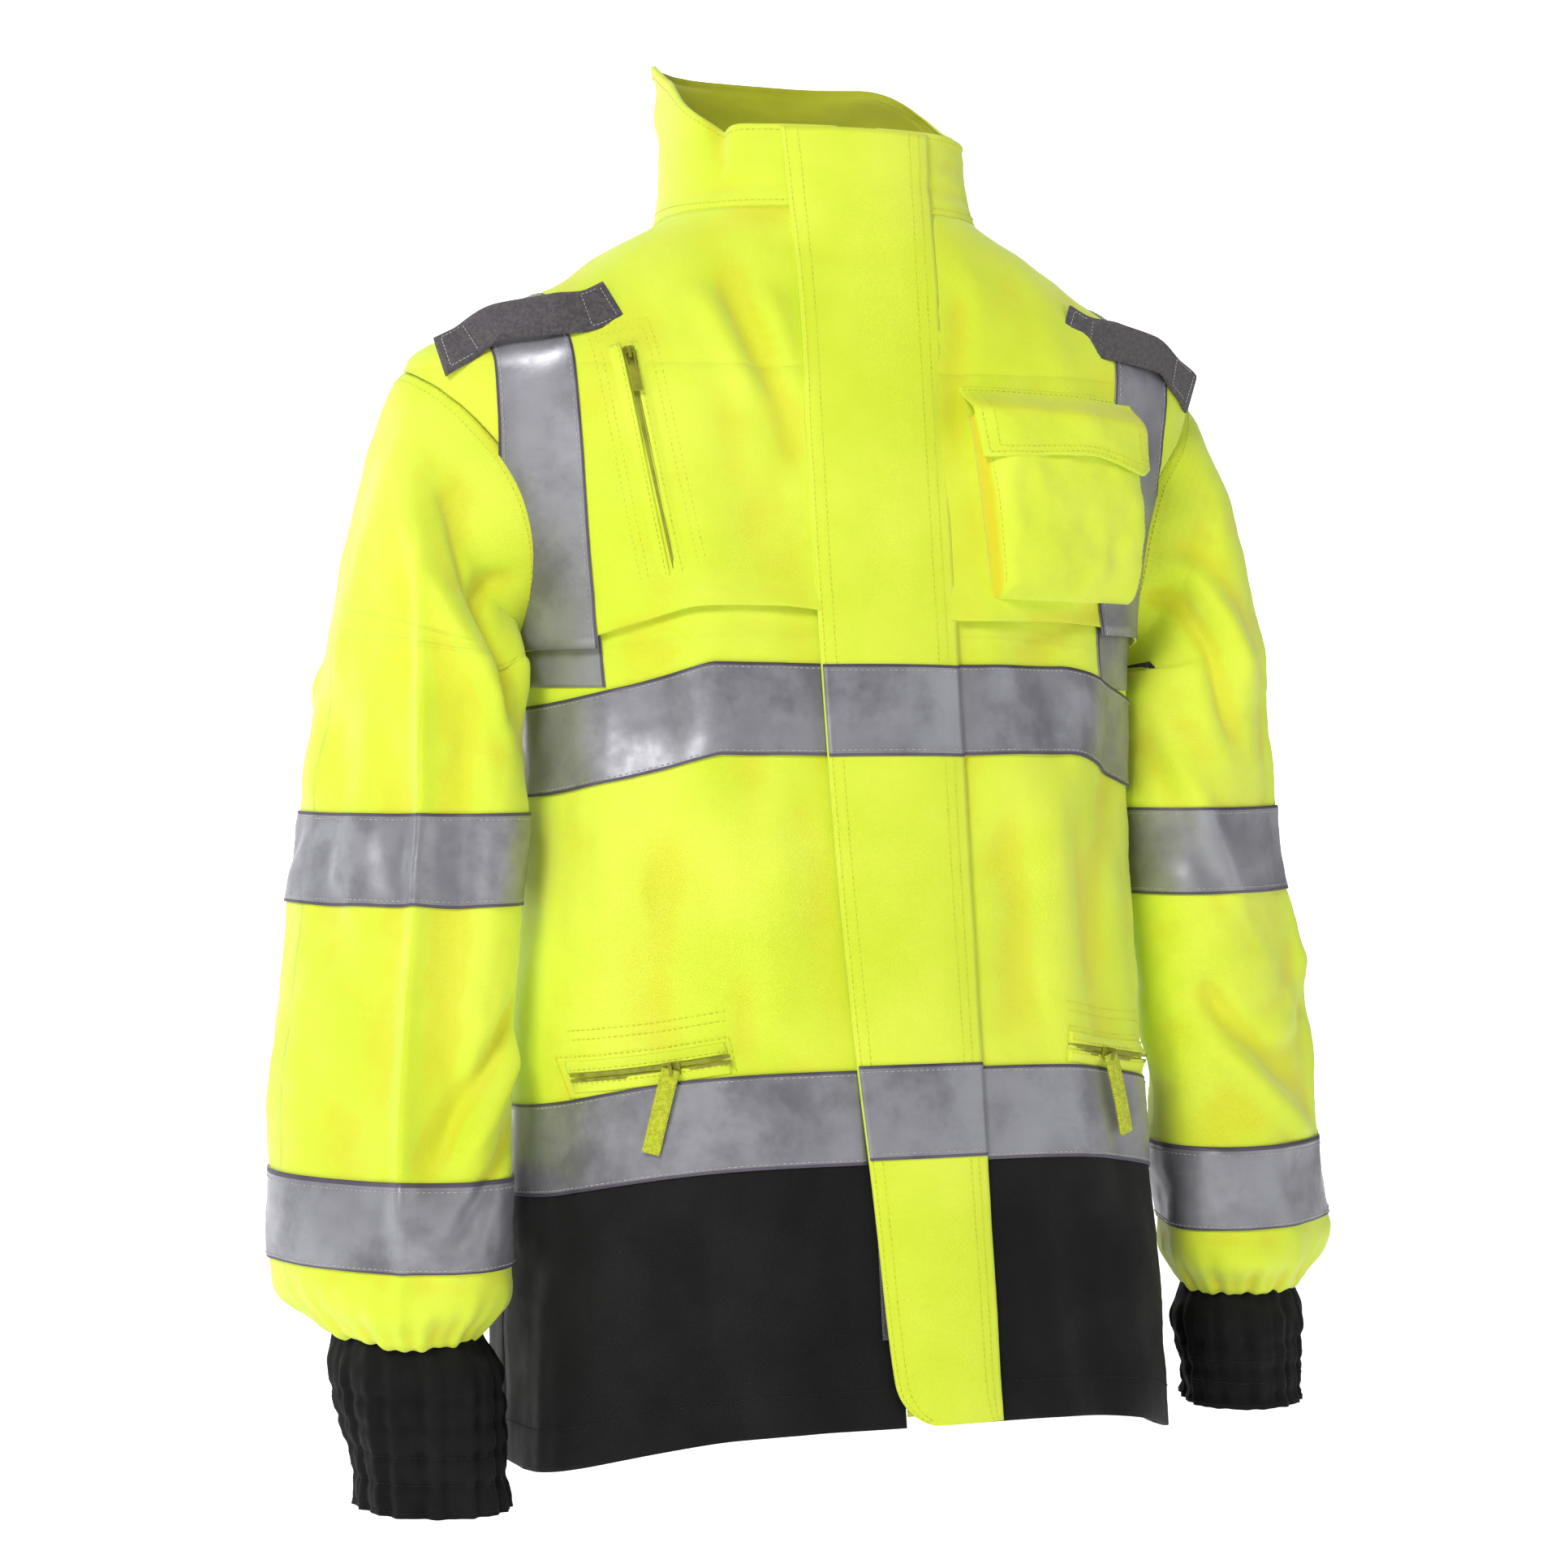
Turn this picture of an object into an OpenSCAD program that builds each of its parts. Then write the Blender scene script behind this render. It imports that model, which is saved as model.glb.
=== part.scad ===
// High-visibility safety parka with a storm flap, reflective tapes and a black hem.
// Millimetres, +Z up, front towards -Y, the wearer's left towards +X.
// Origin: centre of the neck opening, at the height of the collar seam.

/* [Body] */
// Half width of the chest below the armholes
chest_half_w = 182; // [175:1:190]
// Half width of the hem
hem_half_w = 193; // [188:1:198]
// Half width across the dropped shoulder points
shoulder_half_w = 238; // [234:1:242]
// Half width of the neck opening
neck_half_w = 92; // [88:1:96]
// Height of the lowest hem line, below the collar seam
hem_z = -712; // [-720:1:-700]
// Thickness of every fabric layer
cloth_t = 1.0; // [0.8:0.1:1.2]

/* [Collar] */
// Height of the collar rim at the nape
collar_back_z = 91; // [86:1:96]
// Height of the collar rim at the throat
collar_front_z = 40; // [36:1:44]

/* [Reflective tape] */
// Width of the reflective tape
tape_w = 50.8; // [50:0.4:52]
// Top edge of the chest band at the back
chest_band_z = -289; // [-292:1:-286]
// Top edge of the waist band at the back
waist_band_z = -511; // [-514:1:-508]

/* [Storm flap] */
// Distance of the flap's sewn edge from the middle
flap_hinge_x = 40; // [39:1:41]
// Distance of the flap's free edge from the middle, at the collar
flap_free_x = 42; // [40:1:44]
// Thickness of the quilted flap
flap_t = 3; // [2.5:0.5:3]

/* [Cargo pocket] */
// Width of the pouch
pouch_w = 104; // [100:1:108]
// Height of the pouch
pouch_h = 100; // [96:1:104]
// Depth of the pouch
pouch_d = 19; // [16:1:20]

/* [Zips] */
// Length of a webbing zip pull
web_pull_l = 46; // [40:1:48]

/* [Hidden] */

lime = [0.85, 0.95, 0.25];
olive = [0.62, 0.66, 0.12];
black = [0.1, 0.1, 0.1];
silver = [0.62, 0.63, 0.66];
web_grey = [0.36, 0.33, 0.35];

// Body surface: every level is a rounded box, flatter than an ellipse
roundness = 2.5;
front_slope = 0.1507;
front_y0 = -71;
lean = atan(front_slope);
half_w_at = [
  [hem_z, hem_half_w], [-600, 192], [-500, 189], [-400, 184], [-340, 180],
  [-290, chest_half_w], [-256, 186], [-210, 198], [-170, 212], [-130, 228],
  [-100, shoulder_half_w], [-54, 165], [-8, neck_half_w], [12, 87], [95, 88]
];
back_y_at = [
  [hem_z, 135], [-400, 131], [-150, 121], [-68, 102], [-8, 80], [95, 85]
];
// How much an outer layer also rises, so that layers stay apart on the shoulders
rise_at = [[-120, 0], [-95, 0.85], [-10, 0.85], [-7, 0], [95, 0]];
// The hem and both bands lie this much higher in front than at the back
front_lift = 24;
hem_lift = 34;

function half_w(z) = lookup(z, half_w_at);
function back_y(z) = lookup(z, back_y_at);
function front_y(z) = front_y0 + front_slope * z;
function mid_y(z) = (front_y(z) + back_y(z)) / 2;
function half_d(z) = (back_y(z) - front_y(z)) / 2;
function bow(v) = sign(v) * pow(abs(v), 2 / roundness);
function unbow(v) = pow(abs(v), roundness / 2);
function level(z, a) =
  let (drop = cos(a) < 0 ? 1 : pow(abs(sin(a)), 3))
  z + front_lift * (1 - drop) *
    lookup(z, [[hem_z, hem_lift / front_lift], [-600, 1], [chest_band_z, 1], [-235, 0]]);

// A point on the body: a is 0 at the front, 90 at the wearer's left, 180 at the back
function body_point(a, z, out) =
  [
    (half_w(z) + out) * bow(sin(a)),
    mid_y(z) - (half_d(z) + out) * bow(cos(a)),
    z + out * lookup(z, rise_at)
  ];
function body_at_x(x, z, out) = body_point(asin(unbow(x / half_w(z))), z, out);

// The armhole is an ellipse in side view
armhole_z = -178;
armhole_half_h = 78;
armhole_half_d = 62;
function armhole_reach(z) =
  let (k = (z - armhole_z) / armhole_half_h)
  abs(k) >= 1 ? 0 : armhole_half_d * sqrt(1 - k * k);
function side_angle(z) = acos(unbow(armhole_reach(z) / half_d(z)));
zip_half_w = 12;
function edge_angle(z) = asin(unbow(zip_half_w / half_w(z)));

// Heights of the rows in the lime cloth, and where the lime meets the black
upper_rows = [-8, -31, -54, -77, -99.9];
armhole_rows = [for (t = [0 : 9]) armhole_z + armhole_half_h * cos(t * 20)];
lower_rows = [-262, chest_band_z, -340, -400, -460, waist_band_z];
seam_z = -537;
lime_rows = concat(upper_rows, armhole_rows, lower_rows, [seam_z]);
lining_rows = concat(upper_rows, armhole_rows, lower_rows, [-600, hem_z + 25]);
hem_rows = [seam_z - 0.5, -600, -660, hem_z];
front_cols = 8;
back_cols = 14;

shell_in = 0;
shell_out = shell_in + cloth_t;
lining_in = -2.8;
lining_out = lining_in + cloth_t;
yoke_in = 2.2;
yoke_out = yoke_in + cloth_t;
band_in = 1.8;
band_out = band_in + cloth_t;
brace_in = 5;
brace_out = brace_in + cloth_t;

// Quads of a grid as pairs of triangles
function two(a, b, c, d) = [[a, b, c], [a, c, d]];

// A sheet of cloth between two equal grids, rows running down and columns to +X
module sheet(outer, inner) {
  rows = len(outer);
  cols = len(outer[0]);
  all = rows * cols;
  function o(i, j) = i * cols + j;
  function n(i, j) = all + i * cols + j;
  last_r = rows - 1;
  last_c = cols - 1;
  polyhedron(
    points = concat([for (r = outer) each r], [for (r = inner) each r]),
    faces = concat(
      [for (i = [0 : last_r - 1], j = [0 : last_c - 1])
        each two(o(i, j), o(i, j + 1), o(i + 1, j + 1), o(i + 1, j))],
      [for (i = [0 : last_r - 1], j = [0 : last_c - 1])
        each two(n(i, j), n(i + 1, j), n(i + 1, j + 1), n(i, j + 1))],
      [for (j = [0 : last_c - 1]) each two(o(0, j + 1), o(0, j), n(0, j), n(0, j + 1))],
      [for (j = [0 : last_c - 1])
        each two(o(last_r, j), o(last_r, j + 1), n(last_r, j + 1), n(last_r, j))],
      [for (i = [0 : last_r - 1]) each two(o(i, 0), o(i + 1, 0), n(i + 1, 0), n(i, 0))],
      [for (i = [0 : last_r - 1])
        each two(o(i + 1, last_c), o(i, last_c), n(i, last_c), n(i + 1, last_c))]
    )
  );
}

// A closed ring of cloth between two equal grids
module tube(outer, inner) {
  rows = len(outer);
  cols = len(outer[0]);
  all = rows * cols;
  function o(i, j) = i * cols + j % cols;
  function n(i, j) = all + i * cols + j % cols;
  last_r = rows - 1;
  polyhedron(
    points = concat([for (r = outer) each r], [for (r = inner) each r]),
    faces = concat(
      [for (i = [0 : last_r - 1], j = [0 : cols - 1])
        each two(o(i, j), o(i, j + 1), o(i + 1, j + 1), o(i + 1, j))],
      [for (i = [0 : last_r - 1], j = [0 : cols - 1])
        each two(n(i, j), n(i + 1, j), n(i + 1, j + 1), n(i, j + 1))],
      [for (j = [0 : cols - 1]) each two(o(0, j + 1), o(0, j), n(0, j), n(0, j + 1))],
      [for (j = [0 : cols - 1])
        each two(o(last_r, j), o(last_r, j + 1), n(last_r, j + 1), n(last_r, j))]
    )
  );
}

function front_grid(rows, out, inset = 0) =
  [for (z = rows) [for (j = [0 : front_cols])
    let (a0 = edge_angle(z), a = a0 + (side_angle(z) - inset - a0) * j / front_cols)
    body_point(a, level(z, a), out)]];
function back_grid(rows, out, inset = 0) =
  [for (z = rows) [for (j = [0 : back_cols])
    let (a0 = 180 - side_angle(z) + inset, a = a0 + (360 - 2 * a0) * j / back_cols)
    body_point(a, level(z, a), out)]];

module right_side() {
  mirror([1, 0, 0]) children();
}

// Cloth of the front, on the wearer's left
module front_cloth(rows, low, high, inset = 0.3) {
  sheet(front_grid(rows, high, inset), front_grid(rows, low, inset));
}
module back_cloth(rows, low, high, inset = 0.3) {
  sheet(back_grid(rows, high, inset), back_grid(rows, low, inset));
}

module left_front_panel() {
  color(lime) front_cloth(lime_rows, shell_in, shell_out);
}
module right_front_panel() {
  color(lime) right_side() front_cloth(lime_rows, shell_in, shell_out);
}
module back_panel() {
  color(lime) back_cloth(lime_rows, shell_in, shell_out);
}
module left_hem_panel() {
  color(black) front_cloth(hem_rows, shell_in, shell_out);
}
module right_hem_panel() {
  color(black) right_side() front_cloth(hem_rows, shell_in, shell_out);
}
module back_hem_panel() {
  color(black) back_cloth(hem_rows, shell_in, shell_out);
}
module left_front_lining() {
  color(olive) front_cloth(lining_rows, lining_in, lining_out);
}
module right_front_lining() {
  color(olive) right_side() front_cloth(lining_rows, lining_in, lining_out);
}
module back_lining() {
  color(olive) back_cloth(lining_rows, lining_in, lining_out);
}

// Yokes: a second layer over the chest, with a free lower edge
yoke_rows = concat([-16], [for (i = [1 : 4]) upper_rows[i]], [for (i = [0 : 7]) armhole_rows[i]]);
yoke_inset = 1.5;
module yoke_cloth() {
  front_cloth(yoke_rows, yoke_in, yoke_out, yoke_inset);
}
module left_front_yoke() {
  color(lime) yoke_cloth();
}
module right_front_yoke() {
  color(lime) right_side() yoke_cloth();
}

// Bands
function band_rows(top) = [top, top - tape_w / 2, top - tape_w];
module chest_band_left() {
  color(silver) front_cloth(band_rows(chest_band_z), band_in, band_out);
}
module chest_band_right() {
  color(silver) right_side() front_cloth(band_rows(chest_band_z), band_in, band_out);
}
module chest_band_back() {
  color(silver) back_cloth(band_rows(chest_band_z), band_in, band_out);
}
module waist_band_left() {
  color(silver) front_cloth(band_rows(waist_band_z), band_in, band_out);
}
module waist_band_right() {
  color(silver) right_side() front_cloth(band_rows(waist_band_z), band_in, band_out);
}
module waist_band_back() {
  color(silver) back_cloth(band_rows(waist_band_z), band_in, band_out);
}

// Braces: tapes from the chest band over the shoulder to the back of the chest band
brace_top_x = 183;
brace_chest_x = 161;
brace_narrow = 0.84;
brace_front_z = -262;
brace_back_z = -286;
brace_cols = 5;
brace_rows = 14;
function ridge_z(x) =
  -8 - (x - neck_half_w) * (92 / (shoulder_half_w - neck_half_w));
function brace_x(z, side) =
  side + lookup(z, [[brace_back_z, brace_chest_x], [-70, brace_top_x]]);
function brace_point(q, side, out) =
  let (
    low = q < 0 ? brace_front_z : brace_back_z,
    top = ridge_z(brace_top_x + side) - 0.4,
    z = top + (low - top) * q * q,
    x = min(brace_x(z, side), half_w(z) - 1.5),
    p = body_at_x(x, z, out),
    p2 = [p[0], 2 * mid_y(z) - p[1], p[2]]
  )
  q < 0 ? p : p2;
function brace_grid(out) =
  [for (i = [-brace_rows : brace_rows]) [for (j = [0 : brace_cols])
    brace_point(-i / brace_rows, brace_narrow * tape_w * (j / brace_cols - 0.5), out)]];
module brace_cloth() {
  sheet(brace_grid(brace_out), brace_grid(brace_in));
}
module left_brace() {
  color(silver) brace_cloth();
}
module right_brace() {
  color(silver) right_side() brace_cloth();
}

// Collar: a tall stand with a rim that drops towards the throat
collar_rows = 6;
collar_seam_z = -5;
function ease(t) = let (k = min(max(t, 0), 1)) k * k * (3 - 2 * k);
function rim_z(a) =
  collar_front_z + (collar_back_z - collar_front_z) * ease((min(a, 360 - a) - 45) / 95);
function collar_grid(out, trim) =
  [for (i = [0 : collar_rows]) [for (j = [0 : 28])
    let (
      a0 = edge_angle(0),
      a = a0 + (360 - 2 * a0) * j / 28,
      z = rim_z(a) - trim + (collar_seam_z - rim_z(a) + trim) * i / collar_rows
    )
    body_point(a, z, out)]];
module collar() {
  color(lime) sheet(collar_grid(shell_out, 0), collar_grid(shell_in, 0));
}
module collar_lining() {
  color(olive) sheet(collar_grid(lining_out, 3), collar_grid(lining_in, 3));
}

// Small loop of tape inside the nape
module hanger_loop() {
  color(black) translate([0, back_y(-8) - 4.6, 10])
    rotate([90, 0, 0]) linear_extrude(1.2) difference() {
      translate([-24, 0]) square([48, 14]);
      translate([-18, -1]) square([36, 10]);
    }
}

// Frame of the straight front edge: +Z runs up the zip, -Y faces out of the coat
module front_frame() {
  translate([0, front_y0, 0]) rotate([-lean, 0, 0]) children();
}
zip_top = collar_front_z / cos(lean) - 5;
zip_bottom = (hem_z + hem_lift) / cos(lean) + 6;
module strip(x0, x1, low, high, bottom, top) {
  translate([x0, -high, bottom]) cube([x1 - x0, high - low, top - bottom]);
}
module zip_guard() {
  color(lime) front_frame() strip(-22, 18, -8.4, -7, zip_bottom + 4, zip_top - 2);
}
tape_edge = zip_half_w - 0.5;
module main_zip_tape_left() {
  color(black) front_frame() strip(3.6, tape_edge, 0, 0.8, zip_bottom, zip_top);
}
module main_zip_tape_right() {
  color(black) front_frame() strip(-tape_edge, -3.6, 0, 0.8, zip_bottom, zip_top);
}
module main_zip_chain() {
  color(black) front_frame() {
    strip(0.7, 3.2, -0.9, 1.7, zip_bottom + 12, zip_top - 4);
    strip(-3.2, -0.7, -0.9, 1.7, zip_bottom + 12, zip_top - 4);
  }
}
module main_zip_stops() {
  color(black) front_frame() {
    strip(-3.4, 3.4, -1.2, 2, zip_bottom + 1, zip_bottom + 11.5);
    strip(0.7, 3.2, -0.9, 1.7, zip_top - 3.6, zip_top - 1);
    strip(-3.2, -0.7, -0.9, 1.7, zip_top - 3.6, zip_top - 1);
  }
}
slider_top = zip_top - 6;
slider_l = 15;
module main_zip_slider() {
  color(black) front_frame() {
    strip(-5, 5, 2.1, 3.3, slider_top - slider_l, slider_top);
    strip(-5, 5, -2.6, -1.3, slider_top - slider_l, slider_top);
    strip(-0.35, 0.35, -2, 2.5, slider_top - 5, slider_top);
    strip(-3, 3, 3.9, 5.1, slider_top - 34, slider_top - 2);
    strip(-2, 2, 3, 4.2, slider_top - 5, slider_top - 2);
  }
}

// Storm flap and what is sewn to it
flap_low = 6.6;
flap_high = flap_low + flap_t;
flap_top = collar_front_z / cos(lean) - 1;
flap_bottom = (hem_z + hem_lift) / cos(lean) - 4;
flap_corner_r = 24;
flap_sewn_x = flap_hinge_x - 1.5;
// The free edge runs nearly straight, then towards the wearer's left at the hem
function flap_free(z) =
  -lookup(z, [[flap_bottom, 16], [-560, 25], [-350, flap_free_x - 6], [40, flap_free_x]]);
flap_outline = concat(
  [[flap_sewn_x, flap_top], [flap_sewn_x, flap_bottom]],
  [for (t = [0 : 15 : 90])
    [flap_free(flap_bottom) + flap_corner_r * (1 - sin(t)),
     flap_bottom + flap_corner_r * (1 - cos(t))]],
  [[flap_free(-560), -560], [flap_free(-350), -350], [flap_free(40), flap_top]]
);
module flap_slab(outline, low, high) {
  front_frame() translate([0, -low, 0]) rotate([90, 0, 0])
    linear_extrude(high - low) polygon(outline);
}
module storm_flap() {
  color(lime) flap_slab(flap_outline, flap_low, flap_high);
}
flap_chest_top = -270;
flap_waist_top = -496;
module flap_tape(top) {
  low = top - tape_w;
  flap_slab(
    [
      [flap_free(top) + 3, top], [flap_sewn_x - 5, top],
      [flap_sewn_x - 5, low], [flap_free(low) + 3, low]
    ],
    flap_high + 0.1, flap_high + 0.9
  );
}
module flap_chest_tape() {
  color(silver) flap_tape(flap_chest_top);
}
module flap_waist_tape() {
  color(silver) flap_tape(flap_waist_top);
}
// Three lengths of hook tape meet three lengths of loop tape
closure_tops = [-60, -360, -580];
closure_l = 60;
module flap_hook_strip() {
  color(black) front_frame() for (top = closure_tops)
    strip(-23, -14, flap_low - 1.3, flap_low - 0.1, top - closure_l, top);
}
module front_loop_strip() {
  color(black) front_frame() for (top = closure_tops)
    strip(-23, -14, 4, 5, top - closure_l, top);
}

// Webbing loops across the braces, for a radio microphone
mic_w = 24;
mic_t = 1.6;
mic_half = 52;
mic_rise = 8;
mic_profile = concat(
  [for (i = [-10 : 10]) [i * mic_half / 10, mic_rise * pow(cos(i * 9), 2)]],
  [for (i = [10 : -1 : -10]) [i * mic_half / 10, mic_rise * pow(cos(i * 9), 2) - mic_t]]
);
module mic_loop() {
  translate([192, -43, -69.5]) rotate([0, 21, 0]) rotate([0, 0, 20]) rotate([46, 0, 0])
    rotate([90, 0, 0])
    translate([0, 0, -mic_w / 2]) linear_extrude(mic_w) polygon(mic_profile);
}
module left_mic_tab() {
  color(web_grey) mic_loop();
}
module right_mic_tab() {
  color(web_grey) right_side() mic_loop();
}

// A zip slider's outer plate with its guide and bail, and the pull that hangs from the bail.
// +Z runs up the zip, -Y faces out, and the bail's inside is at y -2.6
pull_axis_y = -2.7;
module slider_body() {
  translate([-3.5, -1.6, -9]) cube([7, 1.4, 10]);
  translate([-0.25, -1, -8]) cube([0.5, 2.6, 4]);
  translate([-1, -4.6, -0.6]) cube([2, 3.2, 1.4]);
  translate([-1, -4.6, -5.4]) cube([2, 3.2, 1.4]);
  translate([-1, -4.6, -5.4]) cube([2, 0.9, 6.2]);
}
module pull_bar(w) {
  translate([-w / 2, pull_axis_y, -2.2]) rotate([0, 90, 0]) cylinder(h = w, r = 0.5, $fn = 16);
}
module pull_body(w, l, t) {
  pull_bar(w);
  for (x = [-w / 2, w / 2 - 1.2])
    translate([x, pull_axis_y - t / 2, -9.2]) cube([1.2, t, 7]);
  translate([-w / 2, pull_axis_y - t / 2, -l - 2.2]) cube([w, t, l - 7 + 0.2]);
}

// Chest pocket on the wearer's right: a slanted welt zip
chest_zip_top = [-138, -72.5, -92];
chest_zip_az = -15.7;
chest_zip_lean = -4.83;
chest_zip_roll = -12.2;
chest_zip_l = 136;
module chest_zip_frame() {
  translate(chest_zip_top) rotate([0, 0, chest_zip_az]) rotate([chest_zip_lean, 0, 0])
    rotate([0, chest_zip_roll, 0]) translate([0, -6.6, 0]) children();
}
module chest_zip_welt() {
  color(lime) chest_zip_frame() difference() {
    strip(-11, 11, 0.2, 1.6, -chest_zip_l - 4, 8);
    strip(-4.6, 4.6, -1, 3, -chest_zip_l + 4, 2);
  }
}
module chest_zip_chain() {
  color(black) chest_zip_frame() for (x = [-2.2, 0.5])
    strip(x, x + 1.7, -0.2, 0.9, -chest_zip_l + 5, 1);
}
module chest_zip_slider() {
  color(black) chest_zip_frame() translate([0, -1.2, -1]) slider_body();
}
module chest_zip_pull() {
  color(black) chest_zip_frame() translate([0, -1.2, -1]) pull_body(6, 22, 1);
}

// Cargo pocket on the wearer's left: a bellows pouch under a flap
pouch_az = 15.5;
pouch_at = [114, -98.5, -176];
pouch_wall = 1.5;
module pouch_frame() {
  translate(pouch_at) rotate([0, 0, pouch_az]) rotate([-lean, 0, 0]) children();
}
module cargo_pouch() {
  color(lime) pouch_frame() difference() {
    translate([-pouch_w / 2, -pouch_d, -pouch_h / 2]) cube([pouch_w, pouch_d, pouch_h]);
    translate([-pouch_w / 2 + pouch_wall, -pouch_d + pouch_wall, -pouch_h / 2 + pouch_wall])
      cube([pouch_w - 2 * pouch_wall, pouch_d - 2 * pouch_wall, pouch_h]);
  }
}
pouch_flap_drop = 44;
pouch_flap_w = 110;
pouch_flap_top = pouch_h / 2 + 16;
pouch_flap_pad = 1.2;
pouch_flap_out = 2.6;
flap_section = [
  [-pouch_flap_out, pouch_flap_top + 0.9], [-(pouch_d + 5), pouch_h / 2 + 5],
  [-(pouch_d + 5), pouch_h / 2 + 5 - pouch_flap_drop],
  [-(pouch_d + 3), pouch_h / 2 + 5 - pouch_flap_drop],
  [-(pouch_d + 3), pouch_h / 2 + 4], [-pouch_flap_out, pouch_flap_top - 1.1]
];
module cargo_flap() {
  color(lime) pouch_frame() translate([-pouch_flap_w / 2, 0, 0]) rotate([90, 0, 90])
    linear_extrude(pouch_flap_w) polygon(flap_section);
}
module cargo_closure() {
  color(black) pouch_frame() for (x = [-38, 14])
    translate([x, -pouch_d - 0.1 - pouch_flap_pad, pouch_h / 2 - 34])
      cube([24, pouch_flap_pad, 22]);
}

// Lower pockets: each zip runs on an arc round the front corner of the body
pocket_axis = [65.6, -5.7];
pocket_r = 133.8;
pocket_z = -473;
pocket_tilt = 10;
pocket_pull_skew = 22;
pocket_start = 14.9;
pocket_sweep = 40;
pocket_slider_a = 28.7;
module pocket_frame() {
  translate([pocket_axis[0], pocket_axis[1], pocket_z]) rotate([0, pocket_tilt, 0])
    children();
}
module pocket_arc(low, high, bottom, top, start = pocket_start, sweep = pocket_sweep) {
  rotate([0, 0, -90 + start]) rotate_extrude(angle = sweep, $fn = 96)
    translate([pocket_r + low, bottom]) square([high - low, top - bottom]);
}
module pocket_welt() {
  pocket_frame() {
    pocket_arc(0.4, 1.6, 5.2, 17, pocket_start - 2, pocket_sweep + 4);
    pocket_arc(0.4, 1.6, -6.4, -5.2, pocket_start - 2, pocket_sweep + 4);
  }
}
module pocket_zip() {
  pocket_frame() {
    pocket_arc(0.2, 1.2, 0.6, 2.4);
    pocket_arc(0.2, 1.2, -2.4, -0.6);
  }
}
module pocket_slider_frame() {
  pocket_frame() rotate([0, 0, pocket_slider_a]) translate([0, -pocket_r - 1.5, 0])
    children();
}
module pocket_slider() {
  pocket_slider_frame() {
    translate([-5, -1.6, -3.5]) cube([10, 1.4, 7]);
    translate([-4, -1, -0.3]) cube([4, 1.6, 0.6]);
    for (z = [-3.4, 2])
      translate([-1, -4.6, z]) cube([2, 3.2, 1.4]);
    translate([-1, -4.6, -3.4]) cube([2, 0.9, 6.8]);
  }
}
web_w = 10;
module pocket_pull() {
  pocket_slider_frame() translate([0, pull_axis_y, -0.6])
    rotate([0, -pocket_pull_skew, 0]) rotate([-lean - 1, 0, 0])
    translate([0, -pull_axis_y, 2.2]) {
    pull_bar(web_w);
    for (x = [-web_w / 2, web_w / 2 - 1.4])
      translate([x, pull_axis_y - 0.7, -8.4]) cube([1.4, 1.4, 6.4]);
    translate([-web_w / 2, pull_axis_y - 0.7, -web_pull_l - 2.2])
      cube([web_w, 1.4, web_pull_l - 6]);
  }
}
module left_pocket_welt() {
  color(lime) pocket_welt();
}
module right_pocket_welt() {
  color(lime) right_side() pocket_welt();
}
module left_pocket_zip() {
  color(black) pocket_zip();
}
module right_pocket_zip() {
  color(black) right_side() pocket_zip();
}
module left_pocket_slider() {
  color(black) pocket_slider();
}
module right_pocket_slider() {
  color(black) right_side() pocket_slider();
}
module left_pocket_pull() {
  color(lime) pocket_pull();
}
module right_pocket_pull() {
  color(lime) right_side() pocket_pull();
}
// Flat pocket bags behind the lining
bag_rows = [-470, -520, -570, -620];
bag_cols = 6;
function bag_grid(out) =
  [for (z = bag_rows) [for (j = [0 : bag_cols])
    let (a = 18 + 46 * j / bag_cols) body_point(a, level(z, a), out)]];
module bag_cloth() {
  sheet(bag_grid(-4.6), bag_grid(-6.2));
}
module left_pocket_bag() {
  color(black) bag_cloth();
}
module right_pocket_bag() {
  color(black) right_side() bag_cloth();
}

// Sleeves: each ring has a centre, a tilt of its outward axis and a skewed ellipse
sleeve_cols = 20;
sleeve_rings = [
  // x, y, z, tilt, outward half size, front-to-back half size, skew
  [213, 13, -178, 72.7, 73, 53, 0],
  [222, 11, -188, 65.8, 73.5, 59, 0],
  [228, 9, -203, 57.7, 67, 66, 0],
  [232, 6, -224, 43.5, 57, 71, 2],
  [235, 2, -248, 23, 50, 74, 4],
  [238, 1, -274, 0, 49, 74, 8],
  [244, -2, -345, 0, 54, 68, 14],
  [251, -9, -412, 0, 56, 67, 15],
  [257, -16, -478, 0, 58, 67, 15],
  [261, -25, -560, 0, 59, 67, 14],
  [262, -31, -600, 0, 56, 63, 12],
  [259, -37, -628, 0, 42, 46, 6]
];
function ring_point(r, phi, out) =
  let (
    u = (r[4] + out) * cos(phi) + r[6] * sin(phi),
    v = r[6] * cos(phi) + (r[5] + out) * sin(phi)
  )
  [r[0] + u * cos(r[3]), r[1] + v, r[2] + u * sin(r[3])];
function ring(r, out) =
  [for (j = [0 : sleeve_cols - 1]) ring_point(r, j * 360 / sleeve_cols, out)];
// The ring at a height, between two listed rings
function ring_between(i, t) = sleeve_rings[i] * (1 - t) + sleeve_rings[i + 1] * t;
module sleeve_cloth(first, last, low, high) {
  tube(
    [for (i = [first : last]) ring(sleeve_rings[i], high)],
    [for (i = [first : last]) ring(sleeve_rings[i], low)]
  );
}
module left_sleeve() {
  color(lime) sleeve_cloth(0, 11, 0, cloth_t);
}
module right_sleeve() {
  color(lime) right_side() sleeve_cloth(0, 11, 0, cloth_t);
}
module left_sleeve_lining() {
  color(olive) sleeve_cloth(1, 10, lining_in, lining_out);
}
module right_sleeve_lining() {
  color(olive) right_side() sleeve_cloth(1, 10, lining_in, lining_out);
}
module sleeve_tape(places) {
  rings = [for (p = places) ring_between(floor(p), p - floor(p))];
  tube([for (r = rings) ring(r, band_out - 0.3)], [for (r = rings) ring(r, band_in - 0.3)]);
}
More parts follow.
